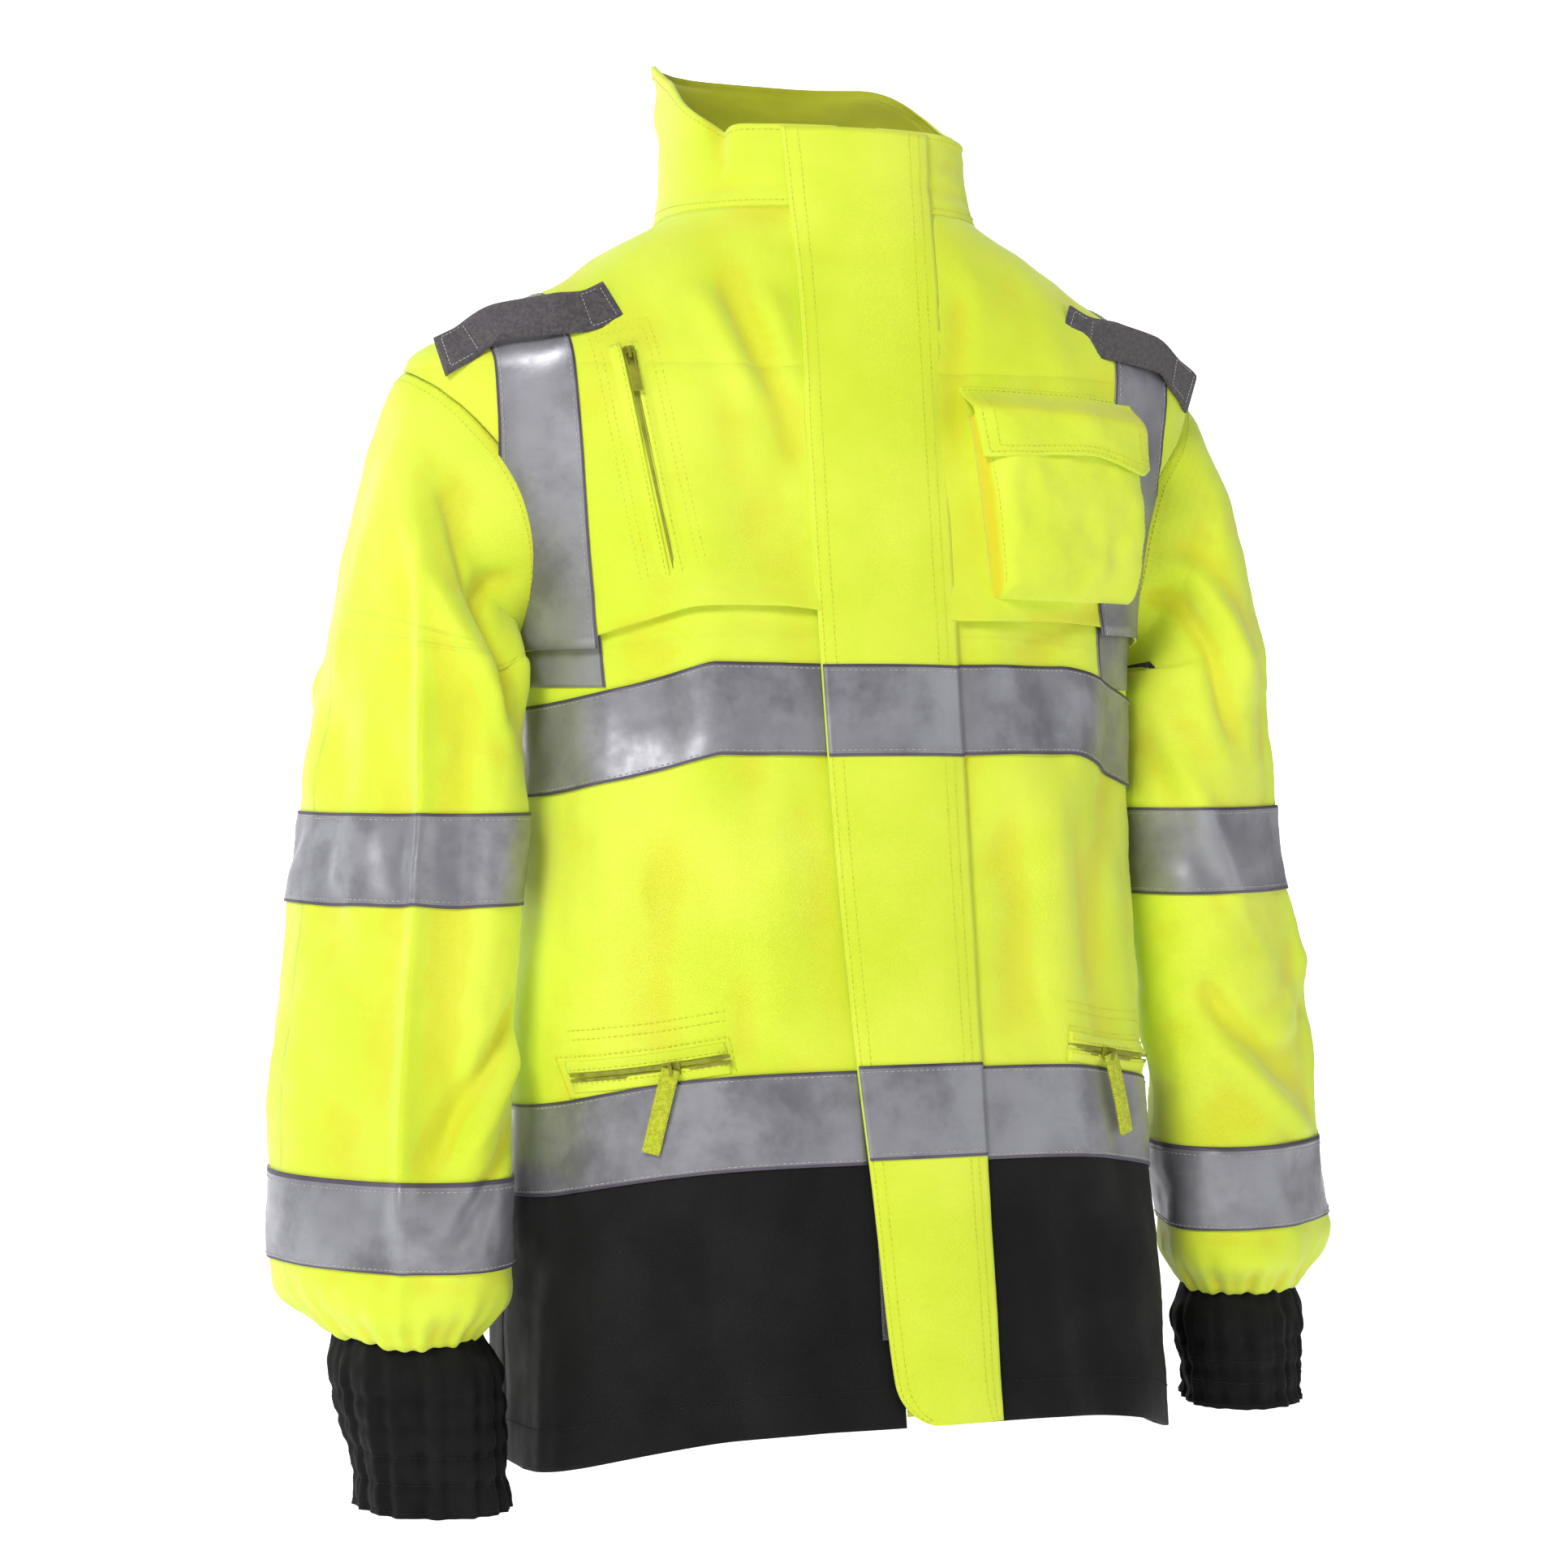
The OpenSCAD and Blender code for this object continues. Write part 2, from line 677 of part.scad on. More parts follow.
module sleeve_tapes() {
  sleeve_tape([6.03, 6.41, 6.79]);
  sleeve_tape([8.79, 9, 9.4, 9.8]);
}
module left_sleeve_tapes() {
  color(silver) sleeve_tapes();
}
module right_sleeve_tapes() {
  color(silver) right_side() sleeve_tapes();
}
// Black knit cuffs, the right one drawn out further than the left one
cuff_rings = [
  [258, -34, -610, 0, 35, 39, 5],
  [257, -38, -633, 0, 37, 41, 5],
  [255, -43, -652, 0, 43, 47, 6],
  [254, -48, -675, 0, 40, 44, 5],
  [253, -53, -700, 0, 37, 41, 4]
];
cuff_t = 2.5;
module cuff_cloth(rings) {
  tube([for (r = rings) ring(r, -1)], [for (r = rings) ring(r, -1 - cuff_t)]);
}
module left_cuff() {
  color(black) cuff_cloth(cuff_rings);
}
module right_cuff() {
  color(black) right_side() cuff_cloth(concat(cuff_rings, [[252, -58, -727, 0, 38, 42, 4]]));
}

back_panel();
right_front_panel();
left_front_panel();
back_hem_panel();
right_hem_panel();
left_hem_panel();
right_front_yoke();
left_front_yoke();
collar();
collar_lining();
back_lining();
right_front_lining();
left_front_lining();
hanger_loop();
zip_guard();
main_zip_tape_right();
main_zip_tape_left();
main_zip_chain();
main_zip_stops();
main_zip_slider();
storm_flap();
flap_chest_tape();
flap_waist_tape();
flap_hook_strip();
front_loop_strip();
chest_band_right();
chest_band_left();
chest_band_back();
waist_band_right();
waist_band_left();
waist_band_back();
right_brace();
left_brace();
right_mic_tab();
left_mic_tab();
chest_zip_welt();
chest_zip_chain();
chest_zip_slider();
chest_zip_pull();
cargo_pouch();
cargo_flap();
cargo_closure();
right_pocket_welt();
left_pocket_welt();
right_pocket_zip();
left_pocket_zip();
right_pocket_slider();
left_pocket_slider();
right_pocket_pull();
left_pocket_pull();
right_pocket_bag();
left_pocket_bag();
right_sleeve();
left_sleeve();
right_sleeve_lining();
left_sleeve_lining();
right_sleeve_tapes();
left_sleeve_tapes();
right_cuff();
left_cuff();
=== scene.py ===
"""A high-visibility parka: fluorescent cloth, silver tape, black hem and cuffs.

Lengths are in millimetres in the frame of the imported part, until mesh() turns them into metres.
The body cloth is one wrinkled surface, and every panel, tape, pocket and seam is laid on it.
"""
import math
import bpy
import numpy as np
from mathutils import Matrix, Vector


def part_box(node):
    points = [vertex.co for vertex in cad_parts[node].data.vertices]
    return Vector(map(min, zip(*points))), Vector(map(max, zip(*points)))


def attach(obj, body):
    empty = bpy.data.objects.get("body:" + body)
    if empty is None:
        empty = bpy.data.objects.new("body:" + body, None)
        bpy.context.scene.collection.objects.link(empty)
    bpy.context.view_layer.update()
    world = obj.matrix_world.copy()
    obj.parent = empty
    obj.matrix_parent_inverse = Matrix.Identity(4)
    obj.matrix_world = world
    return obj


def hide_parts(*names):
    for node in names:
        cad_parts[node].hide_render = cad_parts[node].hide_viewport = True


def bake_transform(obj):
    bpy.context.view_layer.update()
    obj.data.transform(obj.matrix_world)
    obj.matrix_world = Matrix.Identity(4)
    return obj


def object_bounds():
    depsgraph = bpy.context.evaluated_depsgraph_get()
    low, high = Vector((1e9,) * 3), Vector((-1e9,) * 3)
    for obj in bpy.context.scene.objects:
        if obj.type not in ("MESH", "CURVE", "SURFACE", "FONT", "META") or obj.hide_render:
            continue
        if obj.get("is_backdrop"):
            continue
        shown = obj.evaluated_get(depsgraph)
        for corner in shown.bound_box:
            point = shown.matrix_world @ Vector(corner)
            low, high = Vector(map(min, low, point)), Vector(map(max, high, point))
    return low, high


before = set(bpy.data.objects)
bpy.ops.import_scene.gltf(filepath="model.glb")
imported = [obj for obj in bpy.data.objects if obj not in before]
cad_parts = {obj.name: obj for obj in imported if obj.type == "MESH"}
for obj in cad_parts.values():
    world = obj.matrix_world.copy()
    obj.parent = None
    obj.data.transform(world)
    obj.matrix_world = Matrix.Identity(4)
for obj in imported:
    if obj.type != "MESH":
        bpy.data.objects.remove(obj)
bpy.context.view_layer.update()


def node_box(node):
    """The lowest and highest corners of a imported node, in millimetres."""
    return [np.array(corner) * 1000 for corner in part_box(node)]


# ---------------------------------------------------------------- body form
HEM_Z = node_box("back_hem_panel")[0][2]
HEM_FRONT_Z = HEM_Z + 34.0
HEM_W = node_box("back_hem_panel")[1][0] - 1
COLLAR_BACK_Z = node_box("collar")[1][2]
COLLAR_FRONT_Z = 40.0
NECK_W = 92.0
CHEST_W = node_box("chest_band_back")[1][0] - 2.8
SHOULDER_W = node_box("back_panel")[1][0] - 1
SEAM_Z = -537.0
CHEST_BAND_Z = -289.0
WAIST_BAND_Z = -511.0
TAPE_W = 50.8
FRONT_LIFT, HEM_LIFT = 24.0, 10.0
FRONT_SLOPE = 0.1507
FRONT_Y0 = -71.0
LEAN = math.atan(FRONT_SLOPE)
ROUNDNESS = 2.5
ARMHOLE_Z, ARMHOLE_H, ARMHOLE_D = -178.0, 78.0, 62.0
ZIP_HALF_W = 12.0
COLLAR_SEAM_Z = -5.0

HALF_W = np.array([
    (HEM_Z, HEM_W), (-600, 192), (-500, 189), (-400, 184), (-340, 181), (-290, CHEST_W + 1),
    (-256, 187), (-210, 198), (-170, 212), (-130, 229), (-100, SHOULDER_W), (-78, 206),
    (-54, 165), (-30, 126), (-8, NECK_W), (12, 87), (40, 86), (95, 89)], float)
BACK_Y = np.array([(HEM_Z, 135), (-400, 131), (-150, 121), (-68, 102), (-8, 80), (95, 86)], float)


def ease(t):
    t = np.clip(t, 0.0, 1.0)
    return t * t * (3 - 2 * t)


def bump(x, centre, width):
    """A smooth hump, 1 at its centre and near 0 two widths away."""
    return np.exp(-((x - centre) / width) ** 2)


def smooth_table(x, table):
    """A smooth curve through a table's points, which never overshoots them."""
    xs, ys = table[:, 0], table[:, 1]
    d = np.diff(ys) / np.diff(xs)
    m = np.zeros(len(xs))
    same = d[1:] * d[:-1] > 0
    m[1:-1][same] = 2 * d[1:][same] * d[:-1][same] / (d[1:] + d[:-1])[same]
    m[0], m[-1] = d[0], d[-1]
    x = np.clip(x, xs[0], xs[-1])
    i = np.clip(np.searchsorted(xs, x, side="right") - 1, 0, len(xs) - 2)
    h = xs[i + 1] - xs[i]
    t = (x - xs[i]) / h
    return (ys[i] * (1 + 2 * t) * (1 - t) ** 2 + ys[i + 1] * t * t * (3 - 2 * t)
            + h * m[i] * t * (1 - t) ** 2 - h * m[i + 1] * t * t * (1 - t))


def half_w(z):
    return smooth_table(z, HALF_W)


def back_y(z):
    return smooth_table(z, BACK_Y)


def front_y(z):
    return FRONT_Y0 + FRONT_SLOPE * z


def mid_y(z):
    return (front_y(z) + back_y(z)) / 2


def half_d(z):
    return (back_y(z) - front_y(z)) / 2


def bow(v):
    return np.sign(v) * np.abs(v) ** (2 / ROUNDNESS)


def unbow(v):
    return np.clip(np.abs(v), 0, 1) ** (ROUNDNESS / 2)


def level(z, a):
    """Bands and hem lie higher in front: z is the height at the back."""
    ar = np.radians(a)
    drop = np.where(np.cos(ar) < 0, 1.0, np.abs(np.sin(ar)) ** 3)
    lift = FRONT_LIFT * ease((z + 228) / (CHEST_BAND_Z + 228))
    lift = lift + HEM_LIFT * np.clip((z + 600) / (HEM_Z + 600), 0, 1)
    return z + lift * (1 - drop)


def body_form(a, z):
    """The body without wrinkles. a: 0 in front, 90 at the wearer's left, 180 at the back."""
    ar = np.radians(a)
    return np.stack([half_w(z) * bow(np.sin(ar)), mid_y(z) - half_d(z) * bow(np.cos(ar)), z], -1)


def angle_at(x, z, back=False):
    """The angle a of the body's point with this x, on its front or its back."""
    a = np.degrees(np.arcsin(unbow(x / half_w(z)))) * np.sign(x)
    return 180 - a if back else a


def unit(v):
    return v / np.maximum(np.linalg.norm(v, axis=-1, keepdims=True), 1e-9)


def body_normal(a, z):
    da, dz = 0.6, 1.0
    across = body_form(a + da, z) - body_form(a - da, z)
    up = body_form(a, z + dz) - body_form(a, z - dz)
    return unit(np.cross(across, up))


# ---------------------------------------------------------------- wrinkles
def ripples(points, wavelength, seed, stretch=(1, 1, 1), count=14):
    """Smooth seeded unevenness, about -1 to 1, with waves near one length in all directions."""
    rng = np.random.RandomState(seed)
    p = points / np.array(stretch)
    total = np.zeros(points.shape[:-1])
    for _ in range(count):
        k = rng.normal(size=3)
        k *= 2 * math.pi / wavelength / np.linalg.norm(k) * rng.uniform(0.7, 1.4)
        total += np.sin(p @ k + rng.uniform(0, 2 * math.pi))
    return total / math.sqrt(count / 1.2)


def fold(u, v, path, width, height, sharp=1.0):
    """A ridge, or a valley if height is negative, along a path; it fades out at both ends."""
    path = np.array(path, float)
    steps = np.linalg.norm(np.diff(path, axis=0), axis=1)
    total, walked = steps.sum(), 0.0
    near = np.full(np.shape(u), 1e9)
    along = np.zeros(np.shape(u))
    for (p, q), step in zip(zip(path[:-1], path[1:]), steps):
        d = (q - p) / step
        t = np.clip((u - p[0]) * d[0] + (v - p[1]) * d[1], 0, step)
        r = np.hypot(u - p[0] - t * d[0], v - p[1] - t * d[1])
        closer = r < near
        near = np.where(closer, r, near)
        along = np.where(closer, (walked + t) / total, along)
        walked += step
    fade = ease(along / 0.25) * ease((1 - along) / 0.3)
    return height * fade * np.exp(-(near / width) ** (2 * sharp))


# Folds of the front, as (path of (x, z), width, height)
FRONT_FOLDS = [
    ([(-88, -44), (-72, -78), (-50, -120), (-44, -170)], 9, -4.5),
    ([(-100, -52), (-84, -84), (-64, -128)], 10, 3.5),
    ([(-60, -50), (-52, -85), (-47, -130)], 8, 2.5),
    ([(-60, -26), (-20, -34), (30, -30)], 7, -1.6),
    ([(60, -40), (52, -90), (48, -150)], 9, -2.4),
    ([(-104, -150), (-100, -240), (-104, -330), (-112, -420)], 16, 2.6),
    ([(-150, -230), (-128, -262), (-120, -330)], 18, -2.8),
    ([(-60, -340), (-74, -420), (-62, -500)], 20, 2.6),
    ([(-120, -345), (-138, -430), (-128, -500)], 18, -2.6),
    ([(-172, -280), (-150, -360), (-160, -450)], 15, 3.0),
    ([(-70, -560), (-84, -640), (-78, -706)], 24, 2.4),
    ([(-130, -545), (-128, -620), (-140, -706)], 24, -3.0),
    ([(150, -250), (110, -330), (88, -420)], 17, 3.0),
    ([(168, -300), (138, -380), (120, -470)], 15, -3.0),
    ([(60, -330), (76, -400), (72, -480)], 18, -2.4),
    ([(110, -545), (104, -620), (112, -706)], 26, -3.0),
    ([(150, -550), (158, -640), (150, -706)], 22, 2.4),
    ([(170, -210), (120, -246), (70, -262)], 11, -2.0),
    ([(-176, -520), (-166, -590), (-172, -690)], 16, 2.5),
]
BACK_FOLDS = [
    ([(-150, -120), (-110, -200), (-60, -300)], 18, 3.5),
    ([(150, -120), (112, -205), (64, -310)], 18, 3.5),
    ([(-120, -130), (-84, -210), (-40, -300)], 14, -3.0),
    ([(124, -130), (88, -210), (42, -300)], 14, -3.0),
    ([(-60, -28), (0, -40), (60, -28)], 12, -2.5),
    ([(-100, -340), (-84, -430), (-96, -520)], 22, 3.5),
    ([(96, -340), (82, -430), (92, -520)], 22, 3.5),
    ([(-10, -330), (4, -430), (-6, -530)], 26, -3.0),
    ([(-130, -550), (-124, -630), (-132, -706)], 24, 4.0),
    ([(126, -550), (122, -630), (130, -706)], 24, 4.0),
    ([(-50, -560), (-44, -640), (-52, -706)], 24, -4.0),
    ([(48, -560), (44, -640), (50, -706)], 24, -4.0),
]


def body_relief(a, z):
    """How far the cloth lies outside the plain body form, in millimetres."""
    a = (np.asarray(a, float) + 180) % 360 - 180
    p = body_form(a, z)
    x = p[..., 0]
    front = ease((75 - np.abs(a)) / 30)
    back = ease((np.abs(a) - 105) / 30)
    calm = 0.12 + 0.88 * ease((np.abs(x) - 22) / 45)
    calm = np.where(np.abs(a) > 90, 1.0, calm)
    relief = 2.4 * ripples(p, 150, 11, (1, 1, 2.4)) + 1.2 * ripples(p, 62, 12, (1, 1, 1.8))
    relief += 0.35 * ripples(p, 24, 13, (1, 1, 1.5)) + 0.10 * ripples(p, 9, 14)
    relief += 1.6 * ease((-540 - z) / 150) * np.sin(np.radians(a * 5 + 30)) * (1 - 0.6 * front)
    folds = np.zeros(np.shape(relief))
    for path, width, height in FRONT_FOLDS:
        folds += front * fold(x, p[..., 2], path, width, 1.7 * height)
    for path, width, height in BACK_FOLDS:
        folds += back * fold(x, p[..., 2], path, width, height)
    neck = ease((-14 - z) / 30)
    collar = ease((z + 4) / 10)
    relief = (relief * calm + folds * (0.25 + 0.75 * calm)) * np.maximum(neck, 0)
    creases = 1.4 * ripples(p, 30, 21, (3.5, 3.5, 1)) + 0.7 * ripples(p, 60, 22, (1, 1, 2))
    creases += 0.15 * ripples(p, 8, 23, (2, 2, 1))
    low = ease((34 - z) / 26) * np.sin(z / 3.1 + 0.05 * x)
    return relief + collar * calm * (creases + 0.8 * low * front)


def on_body(a, z, out=0.0):
    """Points of the wrinkled body surface, out millimetres outside it, and the normals there."""
    a, z = np.broadcast_arrays(np.asarray(a, float), np.asarray(z, float))
    n = body_normal(a, z)
    return body_form(a, z) + n * (body_relief(a, z) + out)[..., None], n


def side_angle(z):
    """Where a front panel ends: at the armhole's edge, or at the side seam."""
    k = np.clip(np.abs((z - ARMHOLE_Z) / ARMHOLE_H), 0, 1)
    reach = ARMHOLE_D * np.sqrt(1 - k * k)
    return np.degrees(np.arccos(unbow(reach / half_d(z))))


def edge_angle(z, x=ZIP_HALF_W):
    return np.degrees(np.arcsin(unbow(x / half_w(z))))


def mesh(name, verts, faces, material, slot, body="root", bend=None, uv=None, painted_shade=None,
         face_material=None):
    """Makes one piece from points in millimetres and hands it to its body; a piece given a bend only has its
    transform baked and is handed to no body.
    """
    data = bpy.data.meshes.new(name)
    verts = np.asarray(verts, float) / 1000
    data.from_pydata(verts.tolist(), [], [list(map(int, f)) for f in faces])
    data.polygons.foreach_set("use_smooth", [True] * len(data.polygons))
    for m in material if isinstance(material, (list, tuple)) else [material]:
        data.materials.append(m)
    if face_material is not None:
        data.polygons.foreach_set("material_index", np.asarray(face_material, np.int32))
    if uv is not None:
        layer = data.uv_layers.new(name="UVMap")
        loops = np.zeros(len(data.loops), np.int32)
        data.loops.foreach_get("vertex_index", loops)
        layer.data.foreach_set("uv", (np.asarray(uv)[loops] / 1000).astype(np.float32).ravel())
    # Painted shade: a point attribute from 0 to 1 by which the materials deepen the colour in folds, creases
    # and bends.
    shade = data.attributes.new("painted_shade", "FLOAT", "POINT")
    values = np.zeros(len(verts)) if painted_shade is None else np.asarray(painted_shade)
    shade.data.foreach_set("value", values.astype(np.float32))
    data.validate()
    data.update()
    obj = bpy.data.objects.new(name, data)
    bpy.context.scene.collection.objects.link(obj)
    if bend:
        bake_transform(obj)
    else:
        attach(obj, body)
    return obj


def grid_faces(rows, cols, closed):
    """Outer and inner faces of a double grid, with its rims; rows run down, columns to the left."""
    i = np.arange(rows - 1)[:, None]
    j = np.arange(cols if closed else cols - 1)[None, :]
    k = (j + 1) % cols
    quad = np.stack(np.broadcast_arrays(i * cols + j, (i + 1) * cols + j,
                                        (i + 1) * cols + k, i * cols + k), -1).reshape(-1, 4)
    n = rows * cols
    faces = [quad, quad[:, ::-1] + n]
    for row, flip in ((0, False), (rows - 1, True)):
        a, b = (row * cols + j).ravel(), (row * cols + k).ravel()
        rim = np.stack([a, b, b + n, a + n], -1)
        faces.append(rim[:, ::-1] if flip else rim)
    if not closed:
        for col, flip in ((0, True), (cols - 1, False)):
            a, b = (i * cols + col).ravel(), ((i + 1) * cols + col).ravel()
            rim = np.stack([a, b, b + n, a + n], -1)
            faces.append(rim[:, ::-1] if flip else rim)
    return np.concatenate(faces), len(quad)


def cloth(name, points, normals, thick, material, closed=False, painted_shade=None, lining=None, **where):
    """A sheet of cloth: a grid of points with a real thickness behind it."""
    rows, cols = points.shape[:2]
    faces, count = grid_faces(rows, cols, closed)
    behind = points - normals * thick
    across = np.linalg.norm(np.diff(points, axis=1), axis=2)
    down = np.linalg.norm(np.diff(points, axis=0), axis=2)
    u = np.concatenate([np.zeros((rows, 1)), np.cumsum(across, 1)], 1)
    u = u - u[:, cols // 2][:, None]
    v = np.concatenate([np.zeros((1, cols)), np.cumsum(down, 0)], 0)
    v = np.broadcast_to(-v[:, cols // 2][:, None], u.shape)
    uv = np.stack([u, v], -1).reshape(-1, 2)
    painted_shade = np.zeros((rows, cols)) if painted_shade is None else painted_shade
    materials = [material] if lining is None else [material, lining]
    which = None
    if lining is not None:
        which = np.zeros(len(faces), int)
        which[count:2 * count] = 1
    return mesh(name, np.concatenate([points.reshape(-1, 3), behind.reshape(-1, 3)]), faces,
                materials, SLOTS[material], uv=np.concatenate([uv, uv]),
                painted_shade=np.concatenate([painted_shade.ravel(), painted_shade.ravel()]), face_material=which, **where)


def paint(obj, which):
    """Gives the outer faces their materials, where which holds 1 for the woven edge of a tape."""
    index = np.zeros(len(obj.data.polygons), np.int32)
    index[:which.size] = which.ravel()
    obj.data.polygons.foreach_set("material_index", index)


def woven_edges(rows, cols):
    which = np.zeros((rows, cols), np.int32)
    which[0] = which[-1] = 1
    return which


def fold_shade_amount(relief):
    """How deep in a fold each point lies, from 0 to 1: the amount of painted shade that deepens the colour
    there.
    """
    r = relief
    for _ in range(8):
        r = (np.roll(r, 2, 0) + np.roll(r, -2, 0) + np.roll(r, 2, 1) + np.roll(r, -2, 1) + r) / 5
    return np.clip((r - relief) * 0.34 + np.clip(-relief - 4, 0, 5) * 0.03, 0, 0.42)


# Stitches are gathered while pieces are laid, and made into one mesh a colour and body at the end
stitches = {}


def stitch(points, normals, colour="lime", place=("root", None), pitch=3.4, length=2.5, r=0.26,
           sink=0.05):
    """A row of machine stitches along a line of points."""
    points, normals = np.asarray(points, float), np.asarray(normals, float)
    walked = np.concatenate([[0], np.cumsum(np.linalg.norm(np.diff(points, axis=0), axis=1))])
    if walked[-1] < pitch:
        return
    at = np.arange(pitch / 2, walked[-1] - pitch / 2, pitch)

    def sample(values, s):
        return np.stack([np.interp(s, walked, values[:, k]) for k in range(3)], -1)

    a, b = sample(points, at - length / 2), sample(points, at + length / 2)
    n = unit(sample(normals, at))
    stitches.setdefault((colour, place), []).append((a - n * sink, b - n * sink, n, r))


def make_stitches(materials):
    for (colour, place), rows in stitches.items():
        verts, faces, base = [], [], 0
        for a, b, n, r in rows:
            t = unit(b - a)
            s = np.cross(t, n)
            rings = []
            for f, scale in ((0.0, 0.35), (0.22, 1.0), (0.78, 1.0), (1.0, 0.35)):
                c = a + (b - a) * f
                lift = n * (r * (1.3 if 0 < f < 1 else -0.2))
                rings.append(np.stack([c + lift + n * r * scale * math.sin(g)
                                       + s * r * scale * math.cos(g)
                                       for g in np.radians((20, 90, 160, 270))], 1))
            block = np.stack(rings, 1)
            m = len(a)
            verts.append(block.reshape(-1, 3))
            one = []
            for i in range(3):
                for j in range(4):
                    k = (j + 1) % 4
                    one.append((i * 4 + j, i * 4 + k, (i + 1) * 4 + k, (i + 1) * 4 + j))
            one += [(3, 2, 1, 0), (12, 13, 14, 15)]
            one = np.array(one)
            faces.append((base + np.arange(m)[:, None, None] * 16 + one[None]).reshape(-1, 4))
            base += m * 16
        body, bend = place
        name = f"stitching_{colour}_{body}"
        where = {"bend": bend} if bend else {"body": body}
        mesh(name, np.concatenate(verts), np.concatenate(faces), materials[colour][0],
             materials[colour][1], **where)


# ---------------------------------------------------------------- materials
def rgb(r, g, b):
    """An sRGB colour of 0 to 255 as linear light."""
    return tuple(((c / 255 + 0.055) / 1.055) ** 2.4 if c > 10 else c / 3295 for c in (r, g, b)) + (1.0,)


class Look:
    """A material under construction: a few shorthands over its nodes."""

    def __init__(self, name, rough=0.7, metallic=0.0, sheen=0.0):
        self.mat = bpy.data.materials.new(name)
        self.mat.use_nodes = True
        self.nodes, self.links = self.mat.node_tree.nodes, self.mat.node_tree.links
        self.shader = self.nodes["Principled BSDF"]
        self.shader.inputs["Roughness"].default_value = rough
        self.shader.inputs["Metallic"].default_value = metallic
        self.shader.inputs["Sheen Weight"].default_value = sheen
        self.coords = self.nodes.new("ShaderNodeTexCoord")
        self.bumps = None

    def link(self, a, b):
        self.links.new(a, b)

    def noise(self, scale, detail=3.0, rough=0.55, stretch=None, where="Object"):
        n = self.nodes.new("ShaderNodeTexNoise")
        n.inputs["Scale"].default_value = scale
        n.inputs["Detail"].default_value = detail
        n.inputs["Roughness"].default_value = rough
        source = self.coords.outputs[where]
        if stretch:
            m = self.nodes.new("ShaderNodeMapping")
            m.inputs["Scale"].default_value = stretch
            self.link(source, m.inputs["Vector"])
            source = m.outputs["Vector"]
        self.link(source, n.inputs["Vector"])
        return n.outputs["Fac"]

    def math(self, kind, a, b=None):
        n = self.nodes.new("ShaderNodeMath")
        n.operation = kind
        for socket, value in zip(n.inputs, (a, b)):
            if value is None:
                continue
            if isinstance(value, (int, float)):
                socket.default_value = value
            else:
                self.link(value, socket)
        return n.outputs[0]

    def span(self, value, low, high, to_low=0.0, to_high=1.0):
        n = self.nodes.new("ShaderNodeMapRange")
        n.interpolation_type = "SMOOTHSTEP"
        for name, v in (("From Min", low), ("From Max", high), ("To Min", to_low), ("To Max", to_high)):
            n.inputs[name].default_value = v
        self.link(value, n.inputs["Value"])
        return n.outputs["Result"]

    def mix(self, factor, a, b):
        n = self.nodes.new("ShaderNodeMix")
        n.data_type = "RGBA"
        if isinstance(factor, (int, float)):
            n.inputs[0].default_value = factor
        else:
            self.link(factor, n.inputs[0])
        for socket, value in ((n.inputs[6], a), (n.inputs[7], b)):
            if isinstance(value, tuple):
                socket.default_value = value
            else:
                self.link(value, socket)
        return n.outputs[2]

    def attribute(self, name):
        n = self.nodes.new("ShaderNodeAttribute")
        n.attribute_name = name
        return n.outputs["Fac"]

    def colour(self, value):
        self.link(value, self.shader.inputs["Base Color"])

    def rough(self, value):
        self.link(value, self.shader.inputs["Roughness"])

    def bump(self, height, distance, strength=1.0):
        n = self.nodes.new("ShaderNodeBump")
        n.inputs["Distance"].default_value = distance
        n.inputs["Strength"].default_value = strength
        self.link(height, n.inputs["Height"])
        if self.bumps:
            self.link(self.bumps, n.inputs["Normal"])
        self.bumps = n.outputs["Normal"]
        self.link(self.bumps, self.shader.inputs["Normal"])

    def weave(self, pitch_mm, where="UV"):
        """Threads over and under, as a height from -1 to 1."""
        n = self.nodes.new("ShaderNodeSeparateXYZ")
        self.link(self.coords.outputs[where], n.inputs[0])
        k = 2 * math.pi / (pitch_mm / 1000)
        warp = self.math("SINE", self.math("MULTIPLY", n.outputs[0], k))
        weft = self.math("SINE", self.math("MULTIPLY", n.outputs[1], k))
        return self.math("MULTIPLY", warp, weft)


def oxford(name, base, fold_shade_tone, light_tone, rough=0.62, sheen=0.25, glow=0.0, pitch=1.3, shine=0.4):
    """Coated polyester oxford: a fine basket weave, mottled, and with painted shade in its folds, where the
    colour turns deeper.
    """
    look = Look(name, rough, sheen=sheen)
    look.shader.inputs["Specular IOR Level"].default_value = shine
    mottled = look.mix(look.span(look.noise(9, 4), 0.35, 0.7), base, light_tone)
    # Painted shade: the colour turns towards the fold shade tone where the shade attribute is high.
    tone = look.mix(look.attribute("painted_shade"), mottled, fold_shade_tone)
    look.colour(tone)
    look.bump(look.weave(pitch), 0.00012, 0.55)
    look.bump(look.noise(260, 2), 0.00025, 0.35)
    look.bump(look.noise(55, 3, stretch=(1, 1, 0.6)), 0.0012, 0.35)
    look.rough(look.span(look.noise(34, 3), 0.3, 0.7, rough - 0.07, rough + 0.08))
    if glow:
        look.link(tone, look.shader.inputs["Emission Color"])
        look.shader.inputs["Emission Strength"].default_value = glow
    return look.mat


